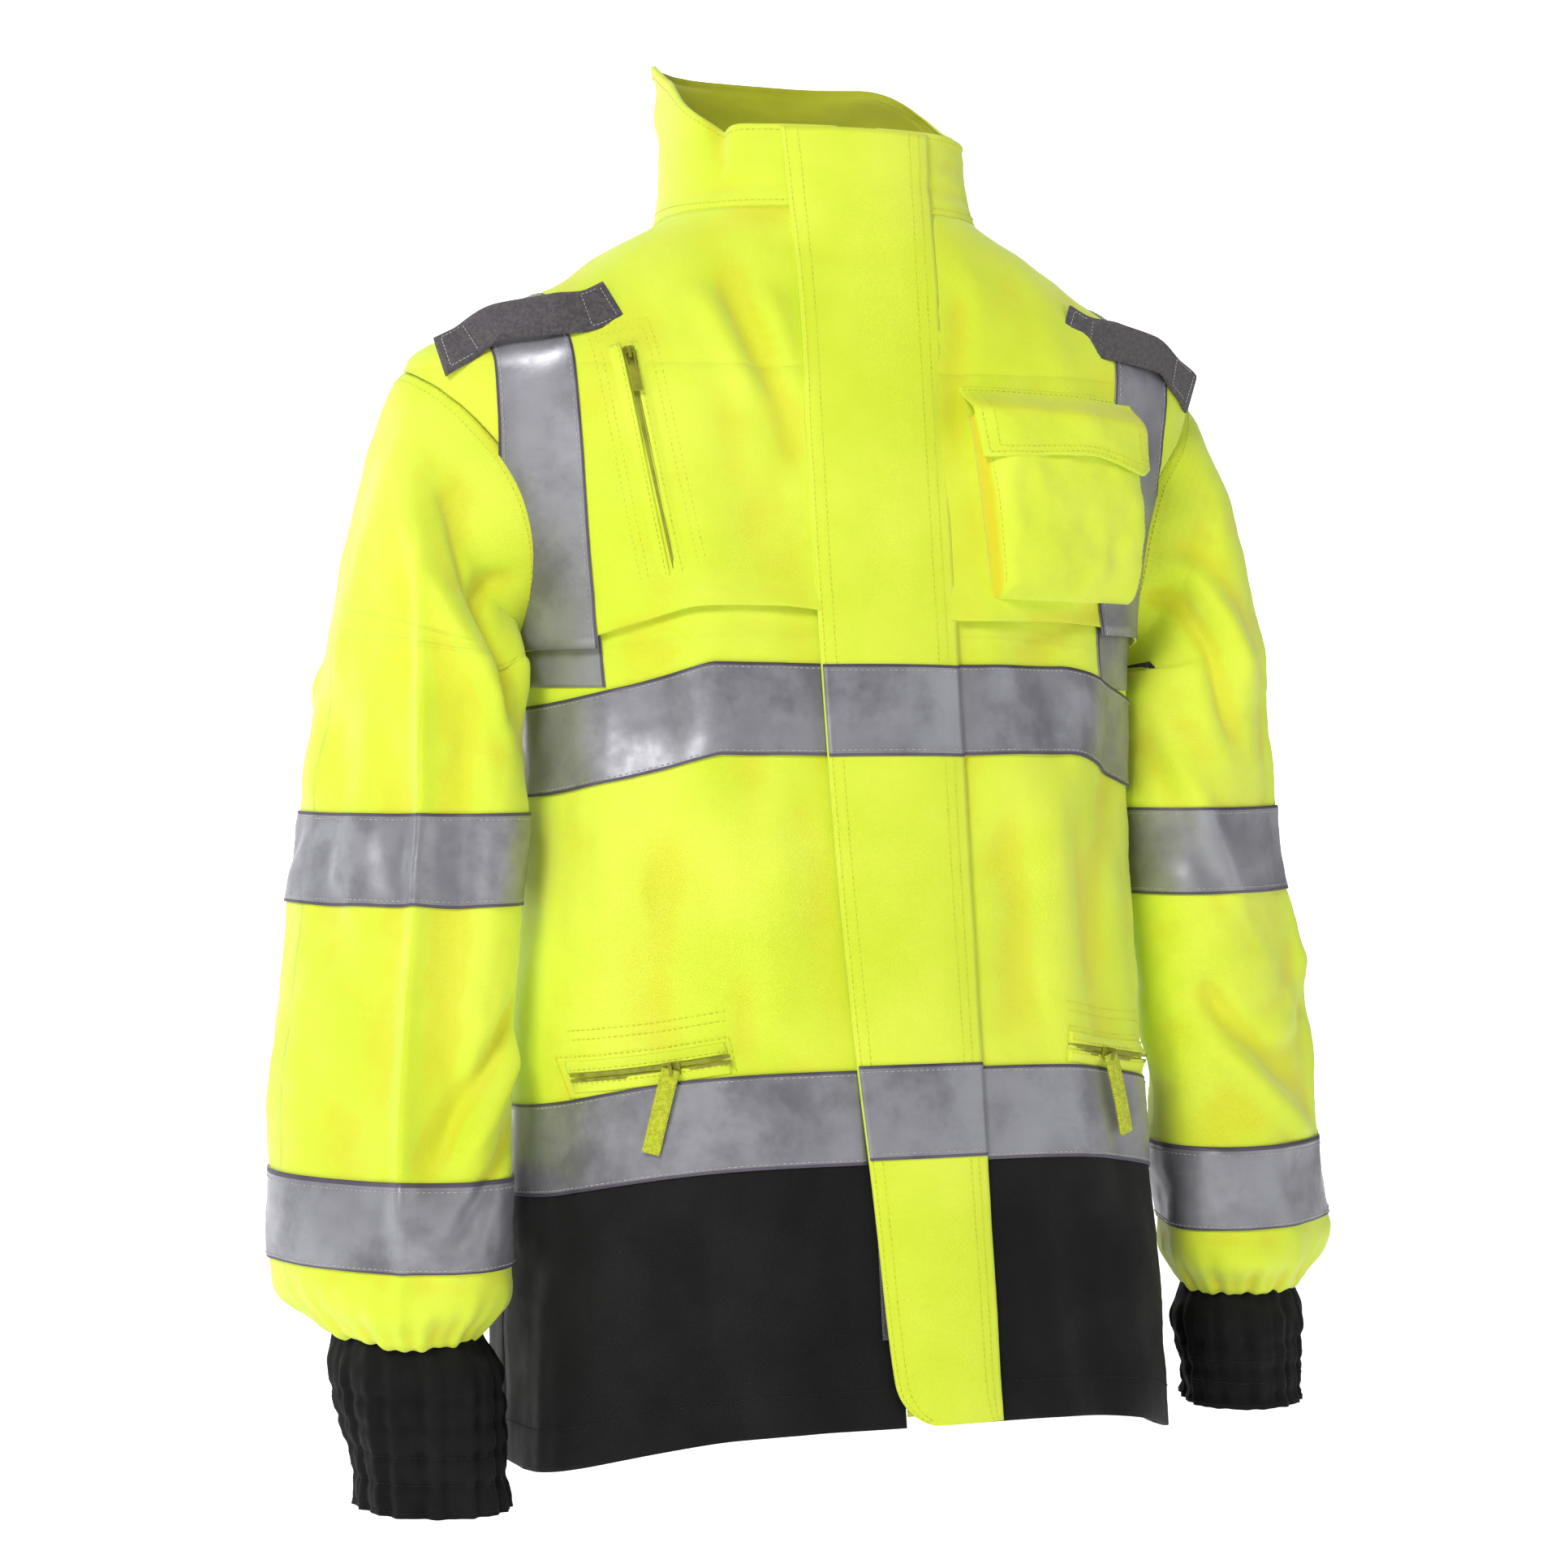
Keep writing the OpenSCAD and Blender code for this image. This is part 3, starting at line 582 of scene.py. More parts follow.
def silver_tape(name, tone, dark, rough=0.42):
    """Glass-bead tape: a flat grey with a metallic lustre, fine beads, random darker mottling and streaks,
    and painted shade in its creases.
    """
    look = Look(name, rough, metallic=0.45)
    tape_mottle = look.span(look.noise(17, 5, 0.65), 0.42, 0.72)
    tape_streaks = look.span(look.noise(60, 6, 0.7, stretch=(1, 1, 4)), 0.55, 0.8)
    shade = look.mix(tape_mottle, tone, dark)
    shade = look.mix(look.math("MULTIPLY", tape_streaks, 0.35), shade, dark)
    # Painted shade: darker in the creases, where the shade attribute is high.
    look.colour(look.mix(look.attribute("painted_shade"), shade, dark))
    look.bump(look.noise(1500, 1), 0.00008, 0.5)
    look.bump(look.noise(70, 3), 0.0006, 0.3)
    look.rough(look.span(look.noise(40, 3), 0.3, 0.7, rough - 0.08, rough + 0.12))
    return look.mat


def plain_weave(name, base, other, pitch, rough=0.8, depth=0.0003, sheen=0.15, stretch=(1, 1, 1)):
    look = Look(name, rough, sheen=sheen)
    fleck = look.span(look.noise(420, 2, stretch=stretch), 0.35, 0.65)
    look.colour(look.mix(look.math("MULTIPLY", fleck, 0.7), base, other))
    look.bump(look.weave(pitch), depth, 0.8)
    look.bump(look.noise(90, 3), 0.0006, 0.4)
    return look.mat


def hard(name, base, other, rough, metallic=0.0):
    """Moulded or cast and painted: slightly uneven, duller where it is handled."""
    look = Look(name, rough, metallic)
    look.colour(look.mix(look.span(look.noise(120, 4), 0.4, 0.75), base, other))
    look.bump(look.noise(900, 2), 0.00004, 0.5)
    look.rough(look.span(look.noise(70, 4), 0.3, 0.7, rough - 0.1, rough + 0.15))
    return look.mat


LIME_OXFORD = oxford("lime_oxford", rgb(214, 234, 44), rgb(222, 206, 24), rgb(228, 243, 70), glow=0.05)
# A darker copy of the lime oxford for the collar's inner faces: painted shade, the same cloth as it looks in
# shadow.
LIME_IN_SHADE = oxford("lime_oxford_in_shade", rgb(176, 182, 22), rgb(140, 140, 12), rgb(188, 196, 34), sheen=0.1)
BLACK_OXFORD = oxford("black_oxford", rgb(20, 20, 21), rgb(9, 9, 10), rgb(27, 27, 28), 0.7, 0.03,
                      pitch=1.3, shine=0.16)
BLACK_KNIT = oxford("black_cuff_cloth", rgb(19, 19, 20), rgb(8, 8, 9), rgb(27, 27, 28), 0.8, 0.03,
                    pitch=1.0, shine=0.14)
LINING = oxford("lining_taffeta", rgb(22, 22, 24), rgb(12, 12, 14), rgb(34, 34, 37), 0.45, 0.3, pitch=0.8)
SILVER = silver_tape("silver_tape", rgb(158, 158, 166), rgb(122, 121, 130))
TAPE_EDGE = silver_tape("tape_edge", rgb(104, 98, 112), rgb(80, 74, 90), 0.6)
GREY_WEBBING = plain_weave("grey_webbing", rgb(96, 90, 94), rgb(66, 60, 66), 1.7, 0.72, 0.0005)
LIME_WEBBING = plain_weave("lime_webbing", rgb(214, 226, 44), rgb(176, 186, 24), 1.7, 0.7, 0.0004)
ZIP_TAPE = plain_weave("zip_tape", rgb(206, 220, 48), rgb(168, 180, 30), 1.1, 0.8, 0.0002)
HOOK_LOOP = plain_weave("hook_and_loop", rgb(58, 58, 60), rgb(22, 22, 24), 1.5, 0.9, 0.0007, 0.4)
ZIP_PLASTIC = hard("zip_plastic", rgb(186, 200, 40), rgb(150, 162, 26), 0.35)
ZIP_DARK = hard("zip_dark", rgb(150, 150, 40), rgb(112, 112, 26), 0.45)
SLIDER_DARK = hard("slider_painted", rgb(150, 152, 36), rgb(110, 112, 26), 0.4, 0.4)
SLIDER_METAL = hard("slider_metal", rgb(150, 150, 152), rgb(104, 104, 108), 0.36, 0.9)
SLOTS = {LIME_OXFORD: "lime_oxford", LIME_IN_SHADE: "lime_oxford", BLACK_OXFORD: "black_oxford",
         BLACK_KNIT: "black_knit", LINING: "lining", SILVER: "reflective_tape",
         GREY_WEBBING: "grey_webbing", LIME_WEBBING: "lime_webbing", HOOK_LOOP: "hook_and_loop"}
THREADS = {
    "lime": (hard("thread_lime", rgb(226, 226, 70), rgb(196, 196, 44), 0.5), "lime_oxford"),
    "black": (hard("thread_black", rgb(26, 26, 27), rgb(14, 14, 15), 0.8), "black_oxford"),
    "grey": (hard("thread_grey", rgb(196, 196, 190), rgb(150, 150, 146), 0.5), "reflective_tape"),
}


def declare(obj, form):
    """Works out the piece as cut: its grid's mean width and length, and its area, before it was wrinkled;
    the results are neither kept nor returned.
    """
    across = np.linalg.norm(np.diff(form, axis=1), axis=2)
    down = np.linalg.norm(np.diff(form, axis=0), axis=2)
    a = form[1:, :-1] - form[:-1, :-1]
    b = form[:-1, 1:] - form[:-1, :-1]
    c = form[1:, :-1] - form[1:, 1:]
    d = form[:-1, 1:] - form[1:, 1:]
    area = (np.linalg.norm(np.cross(a, b), axis=2).sum() + np.linalg.norm(np.cross(c, d), axis=2).sum()) / 2
    width, length = across.sum(1).max() / 1000, down.sum(0).max() / 1000
    width, length = max(width, 0.0101), max(length, 0.0101)
    area = min(area / 1e6, width * length)


def laid(name, a, z, out, thick, material, lining=None, which=None):
    """A piece laid on the body: a and z are grids, and out is how far it stands off."""
    points, normals = on_body(a, z, out)
    obj = cloth(name, points, normals, thick, material, painted_shade=fold_shade_amount(body_relief(a, z)), lining=lining)
    if which is not None:
        paint(obj, which)
    declare(obj, body_form(a, z))


def seam(a, z, out, colour, **kind):
    stitch(*on_body(a, z, out), colour, **kind)


def front_seam(x, z, out, colour="lime"):
    stitch(*on_front(x, z, out), colour)


def hoop(p, n, rows, colour, word, **kind):
    """Stitches all the way round a sleeve or cuff."""
    for row in rows:
        stitch(np.vstack([p[row], p[row][:1]]), np.vstack([n[row], n[row][:1]]), colour,
               (f"{word}_sleeve", None), **kind)


def panel_rows(top, bottom, step=3.2):
    """Row heights, finest where the armhole turns."""
    turns = ARMHOLE_Z + ARMHOLE_H * np.cos(np.linspace(0, math.pi, 61))
    rows = [z for z in np.arange(top, bottom, -step) if not turns[-1] - 2 < z < turns[0] + 2]
    rows = sorted(rows + [z for z in turns if bottom < z < top] + [bottom], reverse=True)
    return np.array(rows)


def front_grid(side, rows, cols, inset=0.0, levelled=True):
    """Angles and heights of a front panel, from the front edge to the armhole or side seam."""
    s = np.linspace(0, 1, cols)[None, :]
    row = np.asarray(rows, float)[:, None]

    def angles(z):
        low = edge_angle(z)
        high = side_angle(z) - inset
        return low + s * (high - low)

    z = level(row, angles(row)) if levelled else row + 0 * s
    a = angles(z)
    if side < 0:
        a, z = -a[:, ::-1], z[:, ::-1]
    return a, z


def back_grid(rows, cols):
    z = np.asarray(rows, float)[:, None]
    s = np.linspace(-1, 1, cols)[None, :]
    a = 180 + s * side_angle(z)
    return a, level(z + 0 * a, a)


SIDES = ((-1, "right"), (1, "left"))
TOP_Z = COLLAR_SEAM_Z + 1

for side, word in SIDES:
    a, z = front_grid(side, panel_rows(TOP_Z, SEAM_Z), 74)
    laid(f"{word}_front", a, z, 0, 1.0, LIME_OXFORD)
    a, z = front_grid(side, np.append(np.arange(SEAM_Z, HEM_Z, -4), HEM_Z), 60)
    laid(f"{word}_front_hem", a, z, 0.3, 1.3, BLACK_OXFORD)
    seam(a[-7], z[-7], 0.3, "black")
    seam(a[0], z[0] - 2.4, 0.3, "black")
    a, z = front_grid(side, panel_rows(TOP_Z - 4, HEM_Z + 22, 9), 26)
    laid(f"{word}_front_inside", a, z, -3.6, 0.6, LINING)
a, z = back_grid(panel_rows(TOP_Z, SEAM_Z, 3.6), 120)
laid("back_cloth", a, z, 0, 1.0, LIME_OXFORD)
a, z = back_grid(np.append(np.arange(SEAM_Z, HEM_Z, -4), HEM_Z), 110)
laid("back_hem", a, z, 0.3, 1.3, BLACK_OXFORD)
seam(a[-7], z[-7], 0.3, "black")
a, z = back_grid(panel_rows(TOP_Z - 4, HEM_Z + 22, 9), 60)
laid("back_inside", a, z, -3.6, 0.6, LINING)

# Front yokes: capes whose lower edges hang free over the chest
YOKE_FREE = {
    -1: np.array([(12, -240), (60, -234), (100, -235), (130, -244), (160, -256), (215, -262)], float),
    1: np.array([(12, -240), (60, -241), (110, -240), (150, -243), (175, -250), (215, -258)], float),
}
YOKE_OUT = 2.4


def yoke_flare(side, x, z):
    """The yoke's free edge curls a little off the chest."""
    near = 1 - np.clip((z - free_edge(side, x)) / 26, 0, 1)
    return near * (1.6 + 0.8 * np.sin(0.11 * x + 1.0))


def free_edge(side, x):
    return smooth_table(np.abs(x), YOKE_FREE[side])


for side, word in SIDES:
    rows = panel_rows(-7, -222)
    a0, z0 = front_grid(side, rows, 70, inset=1.2, levelled=False)
    x_low = body_form(a0[-1], z0[-1])[:, 0]
    t = np.linspace(0, 1, 14)[1:, None]
    tail_z = -222 + t * (free_edge(side, x_low) + 222)[None, :]
    s = np.linspace(0, 1, 70)[None, :]
    low, high = edge_angle(tail_z), side_angle(tail_z) - 1.2
    tail_a = low + (s if side > 0 else 1 - s) * (high - low)
    a, z = np.vstack([a0, side * tail_a]), np.vstack([z0, tail_z])
    flare = yoke_flare(side, body_form(a, z)[..., 0], z)
    laid(f"{word}_yoke", a, z, YOKE_OUT * ease((-3 - z) / 14) + 0.6 + flare, 1.0, LIME_OXFORD)
    for up in (2.0, 8.0):
        seam(a[-1], z[-1] + up, YOKE_OUT + flare[-1] * (1 - up / 16), "lime")


# Reflective tapes. Each has a dark woven edge, and a row of stitches inside it
def tape_levels(rows):
    """Row places across a tape, from its top: the two outer ones on each side hold the dark edge."""
    return np.concatenate([[0, 1.7], np.linspace(3.4, TAPE_W - 3.4, rows), [TAPE_W - 1.7, TAPE_W]])


CHEST_DROP, CHEST_DROP_X = 24, {-1: 97, 1: 112}


def chest_level(a, z):
    """The chest band runs level across the front and turns down at a crease on each side."""
    ar = (np.asarray(a, float) + 180) % 360 - 180
    x = np.abs(half_w(np.full(np.shape(ar), -300.0)) * bow(np.sin(np.radians(ar))))
    front = np.where(ar < 0, 1.0, 0.0)
    drop = front * CHEST_DROP * np.clip((x - CHEST_DROP_X[-1]) / 86, 0, 1)
    drop += (1 - front) * CHEST_DROP * np.clip((x - CHEST_DROP_X[1]) / 72, 0, 1) ** 1.5
    return np.where(np.abs(ar) < 90, z + FRONT_LIFT - np.minimum(drop, CHEST_DROP), z)


def band(name, a, top, out, levels):
    place = tape_levels(13)
    a = np.broadcast_to(a, (len(place), np.shape(a)[-1]))
    z = levels(a, top) - place[:, None]
    laid(name, a, z, out, 0.8, SILVER, TAPE_EDGE, woven_edges(len(a) - 1, a.shape[1] - 1))
    for row, up in ((1, -1.0), (-2, 1.0)):
        seam(a[row], z[row] + up, out, "grey", length=2.2)


for label, top, levels in (("chest", CHEST_BAND_Z, chest_level),
                           ("waist", WAIST_BAND_Z, lambda a, z: level(z, a))):
    for side, word in SIDES:
        a = side * np.linspace(edge_angle(top, 26), 90, 76)
        band(f"{label}_tape_{word}", a if side > 0 else a[::-1], top, 1.5, levels)
    band(f"{label}_tape_back", np.linspace(90, 270, 150), top, 1.5, levels)

# Braces: from the yoke's free edge over the shoulder, down to the chest band at the back
# How far out each brace lies at the shoulder and at the chest, and its width as seen from in front
BRACES = {-1: (189.0, 171.0, 0.80), 1: (180.0, 165.0, 0.86)}


def ridge_z(x):
    return -8 - (x - NECK_W) * (92 / (SHOULDER_W - NECK_W))


def brace_x(side, z, place):
    top, chest, narrow = BRACES[side]
    return np.minimum(chest + (top - chest) * (z + 286) / 216 + narrow * place, half_w(z) - 1.2)


def brace_grid(side, q, low):
    """Angles and heights of a brace: q runs from its lower front end over 0 at the shoulder."""
    place = (tape_levels(9) - TAPE_W / 2)[None, :]
    top = ridge_z(BRACES[side][0] + BRACES[side][2] * place) - 0.3
    q = np.asarray(q, float)[:, None]
    z = top + (np.where(q < 0, low, -286.0) - top) * q * q
    a = np.degrees(np.arcsin(unbow(brace_x(side, z, place) / half_w(z))))
    a = np.where(q < 0, a, 180 - a)
    return (a, z) if side > 0 else (-a[:, ::-1], z[:, ::-1])


def brace_piece(name, side, q, low, out):
    a, z = brace_grid(side, q, low)
    out = np.broadcast_to(np.asarray(out, float), a.shape)
    laid(name, a, z, out, 0.8, SILVER, TAPE_EDGE, woven_edges(a.shape[1] - 1, len(a) - 1).T)
    for col in (2, -3):
        seam(a[:, col], z[:, col], out[:, col], "grey", length=2.2)


for side, word in SIDES:
    end_z = free_edge(side, BRACES[side][1] + 2) + 1
    q = np.concatenate([-np.linspace(1, 0, 46)[:-1] ** 0.8, np.linspace(0, 1, 46) ** 0.8])
    a, z = brace_grid(side, q, end_z)
    out = np.where(q < 0, YOKE_OUT + 1.6, 1.6 + YOKE_OUT * (1 - ease((q - 0.2) / 0.3)))[:, None]
    out = out + np.where(q < 0, 1, 0)[:, None] * yoke_flare(side, body_form(a, z)[..., 0], z)
    brace_piece(f"{word}_brace_tape", side, q, end_z, out)
    a_low = np.linspace(0, 1, 12)
    place = (tape_levels(9) - TAPE_W / 2)[None, :]
    z = -240 - a_low[:, None] * 38 + 0 * place
    a = np.degrees(np.arcsin(unbow(brace_x(side, z, place) / half_w(z))))
    if side < 0:
        a, z = -a[:, ::-1], z[:, ::-1]
    laid(f"{word}_brace_end", a, z, 1.0, 0.8, SILVER, TAPE_EDGE,
         woven_edges(a.shape[1] - 1, len(a) - 1).T)

# ---------------------------------------------------------------- storm flap
FLAP_SEWN_X, FLAP_TOP_Z = 38.5, COLLAR_FRONT_Z - 2
FLAP_FREE = np.array([(-676, -16), (-640, -20), (-560, -25), (-480, -31), (-350, -37), (-200, -40),
                      (0, -42), (40, -44)], float)
FLAP_CORNER = 24.0
FLAP_BEND = ("root", "storm_flap", (0.0455, -0.100, -0.30), (0.033, -0.100, -0.30))


def flap_free_x(z):
    bottom = HEM_FRONT_Z
    k = np.clip((FLAP_CORNER - (z - bottom)) / FLAP_CORNER, 0, 1)
    return smooth_table(z, FLAP_FREE) + FLAP_CORNER * (1 - np.sqrt(1 - k * k))


def flap_out(x, z, s):
    """The flap stands clear of the zip, and is pressed to the coat at both edges."""
    puff = 0.35 * ripples(np.stack([x, 0 * x, z], -1), 90, 31, (1, 1, 2.5))
    return 2.4 + 3.6 * np.sin(np.pi * np.clip(s, 0.02, 0.98)) ** 0.5 + puff + 1.4 * (1 - s) ** 6


def on_front(x, z, out):
    return on_body(angle_at(x, z), z, out)


def flap_grid(z, s):
    z, s = np.broadcast_arrays(np.asarray(z, float)[:, None], np.asarray(s, float)[None, :])
    free = flap_free_x(z)
    x = free + s * (FLAP_SEWN_X + 5 - free)
    return x, z, s


s_across = np.linspace(0, 1, 34)
flap_z = np.concatenate([np.arange(FLAP_TOP_Z, HEM_FRONT_Z + 26, -3.4),
                         HEM_FRONT_Z + 24 * (1 - np.sin(np.linspace(0.03, 1, 14) * math.pi / 2)) + 0.4])
x, z, s = flap_grid(flap_z, s_across)
points, normals = on_front(x, z, flap_out(x, z, s))
declare(cloth("storm_flap_cloth", points, normals, 1.8, LIME_OXFORD, bend=FLAP_BEND,
              painted_shade=0.3 * fold_shade_amount(body_relief(angle_at(x, z), z))), body_form(angle_at(x, z), z))
flap_place = ("storm_flap", FLAP_BEND)
FLAP_W = 82
for rows, places in ((flap_z[:-3], [2.2 / FLAP_W, 8.2 / FLAP_W]),
                     (flap_z[:-1], [1 - 7.2 / FLAP_W, 1 - (5 + 8.2) / FLAP_W])):
    for place in places:
        x, z, s = flap_grid(rows, [place])
        p, n = on_front(x, z, flap_out(x, z, s))
        stitch(p[:, 0], n[:, 0], "lime", flap_place)
for label, top in (("chest", CHEST_BAND_Z + FRONT_LIFT - 1), ("waist", WAIST_BAND_Z + FRONT_LIFT + 2)):
    x, z, s = flap_grid(top - tape_levels(11), np.linspace(0.006, 1, 30))
    p, n = on_front(x, z, flap_out(x, z, s) + 0.8)
    obj = cloth(f"flap_{label}_silver", p, n, 0.7, SILVER, lining=TAPE_EDGE, bend=FLAP_BEND)
    paint(obj, woven_edges(len(x) - 1, x.shape[1] - 1))
    declare(obj, p)
    for row in (2, -3):
        stitch(p[row], n[row], "grey", flap_place, length=2.2)

# ---------------------------------------------------------------- collar
RIM = {-1: (50, 62), 1: (62, 84)}


def rim_z(a):
    """The rim is low at the throat and climbs to the nape, sooner on the wearer's right."""
    ar = (np.asarray(a, float) + 180) % 360 - 180
    start = np.where(ar < 0, RIM[-1][0], RIM[1][0])
    span = np.where(ar < 0, RIM[-1][1], RIM[1][1])
    rise = COLLAR_BACK_Z - 1.5 - COLLAR_FRONT_Z
    return COLLAR_FRONT_Z + rise * ease((np.abs(ar) - start) / span) - 2.2 * bump(ar, -54, 7)


def collar_pinch(a, t):
    """A sharp tuck where the wearer's right side of the collar folds over at the throat."""
    ar = (a + 180) % 360 - 180
    return (-7.5 * bump(ar, -57 + 5 * (1 - t), 6.5) * t ** 2 + 3.2 * bump(ar, -45, 7) * t ** 2
            - 2.8 * bump(ar, 76, 8) * t ** 1.5 + 1.6 * bump(ar, 128, 16) * t)


def collar_grid(cols, rows, low, trim):
    half = edge_angle(20.0)
    a = np.linspace(half, 360 - half, cols)[None, :] + np.zeros((rows, 1))
    t = np.linspace(1, 0, rows)[:, None]
    return a, low + t * (rim_z(a) - trim - low), t + 0 * a


a, z, t = collar_grid(230, 44, COLLAR_SEAM_Z - 2, 0)
roll = 0.9 * ease((t - 0.90) / 0.06) * (1 - ease((t - 0.97) / 0.05))
points, normals = on_body(a, z, 1.6 + collar_pinch(a, t) + roll)
painted_shade = fold_shade_amount(body_relief(a, z) + collar_pinch(a, t))
declare(cloth("collar_cloth", points, normals, 2.6, LIME_OXFORD, lining=LIME_IN_SHADE,
              painted_shade=painted_shade * 0.8), body_form(a, z))
for row in (3, -4):
    stitch(points[row], normals[row], "lime")
a, z, t = collar_grid(140, 24, COLLAR_SEAM_Z - 6, 5)
points, normals = on_body(a, z, -1.8 + collar_pinch(a, t))
declare(cloth("collar_stand_lining", points, normals, 0.8, LIME_IN_SHADE,
              lining=LIME_IN_SHADE, painted_shade=fold_shade_amount(body_relief(a, z))), body_form(a, z))
stitch(points[1], -normals[1], "lime")

# ---------------------------------------------------------------- sleeves
# Each ring: centre x, y, z; tilt; half sizes outward and front to back; skew of its front
SLEEVE_RINGS = np.array([
    (213, 13, -178, 72.7, 73, 53, 0), (222, 11, -188, 65.8, 73.5, 59, 0),
    (228, 9, -203, 57.7, 67, 66, 0), (232, 6, -224, 43.5, 57, 71, 2),
    (235, 2, -248, 23, 50, 74, 4), (238, 1, -274, 0, 49, 74, 8),
    (244, -2, -345, 0, 54, 68, 14), (251, -9, -412, 0, 56, 67, 15),
    (257, -16, -478, 0, 58, 67, 15), (261, -25, -560, 0, 59, 67, 14),
    (262, -31, -600, 0, 56, 63, 12), (259, -37, -628, 0, 43, 47, 6),
    (257, -39, -634, 0, 36, 40, 5)], float)
SLEEVE_BEND = {side: ("root", f"{word}_sleeve",
                      tuple(np.array([side * 0.6, 0, -0.8]) * 0.300),
                      tuple(np.array([side * 0.6, 0, -0.8]) * 0.400)) for side, word in SIDES}


def ring_values(t):
    i = np.clip(np.floor(t).astype(int), 0, len(SLEEVE_RINGS) - 2)
    f = (t - i)[..., None]
    get = lambda k: SLEEVE_RINGS[np.clip(k, 0, len(SLEEVE_RINGS) - 1)]
    p0, p1, p2, p3 = get(i - 1), get(i), get(i + 1), get(i + 2)
    m1 = (p2 - p0) / 2 * np.where(i > 0, 1, 0)[..., None] + (p2 - p1) * np.where(i > 0, 0, 1)[..., None]
    m2 = (p3 - p1) / 2
    return ((2 * f ** 3 - 3 * f ** 2 + 1) * p1 + (f ** 3 - 2 * f ** 2 + f) * m1
            + (-2 * f ** 3 + 3 * f ** 2) * p2 + (f ** 3 - f ** 2) * m2)


def ring_point(r, phi):
    c, s = np.cos(np.radians(phi)), np.sin(np.radians(phi))
    tilt = np.radians(r[..., 3])
    u = r[..., 4] * c + r[..., 6] * s
    v = r[..., 6] * c + r[..., 5] * s
    return np.stack([r[..., 0] + u * np.cos(tilt), r[..., 1] + v, r[..., 2] + u * np.sin(tilt)], -1)


def armhole_edge(phi):
    """The body's armhole at the sleeve's angle phi, 0 at the top and 90 at the back."""
    z = ARMHOLE_Z + ARMHOLE_H * np.cos(np.radians(phi))
    a = side_angle(z)
    a = np.where(np.sin(np.radians(phi)) > 0, 180 - a, a)
    return a, z


def sleeve_form(side, t, phi):
    """The plain sleeve, starting in the armhole's edge; built on the left and mirrored."""
    r = ring_values(t)
    p = ring_point(r, phi)
    k = np.clip(t / 1.6, 0, 1)
    if np.any(k < 1):
        a, z = armhole_edge(phi)
        edge, n = on_body(side * a, z, 0.4)
        edge = edge * np.array([side, 1, 1])
        first = ring_point(ring_values(0 * t), phi)
        p = p + (edge - first) * (1 - ease(k))[..., None]
    return p


# Folds of each sleeve, as (path of (phi, z), width, height and sometimes sharpness)
SLEEVE_FOLDS = {-1: [
    ([(-62, -170), (-68, -300), (-70, -450), (-72, -660)], 5.0, 5.6, 0.75),
    ([(-88, -230), (-90, -400), (-90, -600)], 13, -4.0),
    ([(-46, -230), (-48, -400), (-46, -600)], 13, -2.0),
    ([(-56, -130), (-84, -190), (-112, -240), (-150, -300)], 9, -4.0),
    ([(-40, -150), (-66, -215), (-96, -262), (-140, -330)], 9, 3.6),
    ([(-112, -200), (-118, -250), (-124, -305)], 7, -5.0),
    ([(-136, -190), (-140, -250), (-148, -310)], 8, 4.0),
    ([(-156, -440), (-128, -470), (-98, -504), (-66, -556)], 9, -4.6),
    ([(-156, -470), (-124, -500), (-92, -540)], 8, 3.4),
    ([(-150, -510), (-112, -552), (-86, -590)], 8, -3.2),
    ([(-10, -250), (-22, -360), (-14, -460)], 18, -2.2),
    ([(-40, -330), (-48, -440), (-36, -520)], 14, 2.0),
], 1: [
    ([(-36, -200), (-40, -330), (-36, -450), (-40, -600)], 7, 3.2, 0.9),
    ([(-120, -170), (-92, -230), (-60, -290)], 10, 3.8),
    ([(-140, -190), (-106, -250), (-70, -320)], 9, -4.2),
    ([(-150, -280), (-110, -340), (-80, -420)], 10, 3.0),
    ([(-130, -440), (-96, -480), (-50, -520)], 10, -3.8),
    ([(-124, -480), (-80, -520), (-36, -556)], 9, 3.4),
    ([(-20, -420), (-56, -470), (-96, -500)], 9, 2.6),
]}


def sleeve_relief(side, t, phi, p):
    """Wrinkles of a sleeve in millimetres. phi: 0 outward, -90 front, 90 back, 180 to the body."""
    ph = (phi + 180) % 360 - 180
    z = p[..., 2]
    free = ease((t - 0.25) / 1.2)
    relief = 2.0 * ripples(p, 120, 41 + side, (1, 1, 2.2)) + 1.2 * ripples(p, 55, 43 + side)
    relief += 0.28 * ripples(p, 22, 45 + side) + 0.1 * ripples(p, 9, 46)
    w = ph * 1.05

    def crease(path, width, height, sharp=1.0):
        return fold(w, z, [(q[0] * 1.05, q[1]) for q in path], width, 1.75 * height, sharp)

    for crease_line in SLEEVE_FOLDS[side]:
        relief += crease(*crease_line)
    for q0, z0, height in ((60, -300, 3.0), (100, -420, -3.6), (140, -240, 3.4), (90, -520, 3.0),
                           (150, -480, -3.2), (30, -380, -2.0)):
        relief += crease([(q0 - 34, z0 + 46), (q0, z0), (q0 + 34, z0 - 58)], 11, height)
    gather = ease((-594 - z) / 34)
    phase = 0.8 * np.sin(np.radians(2 * ph + 40)) + side
    relief += gather * (0.8 * np.sin(np.radians(15 * ph) + phase) + 0.6 * np.sin(np.radians(26 * ph) + 2))
    relief += 4.5 * bump(z, -612, 11) * (1 + 0.4 * np.sin(np.radians(3 * ph + 60 * side)))
    relief -= 2.2 * gather * bump(z, -603 + 6 * np.sin(np.radians(2 * ph)), 5)
    relief += (7 * bump(ph, 10, 45) * bump(z, -600, 14) if side > 0 else 0)
    return relief * free


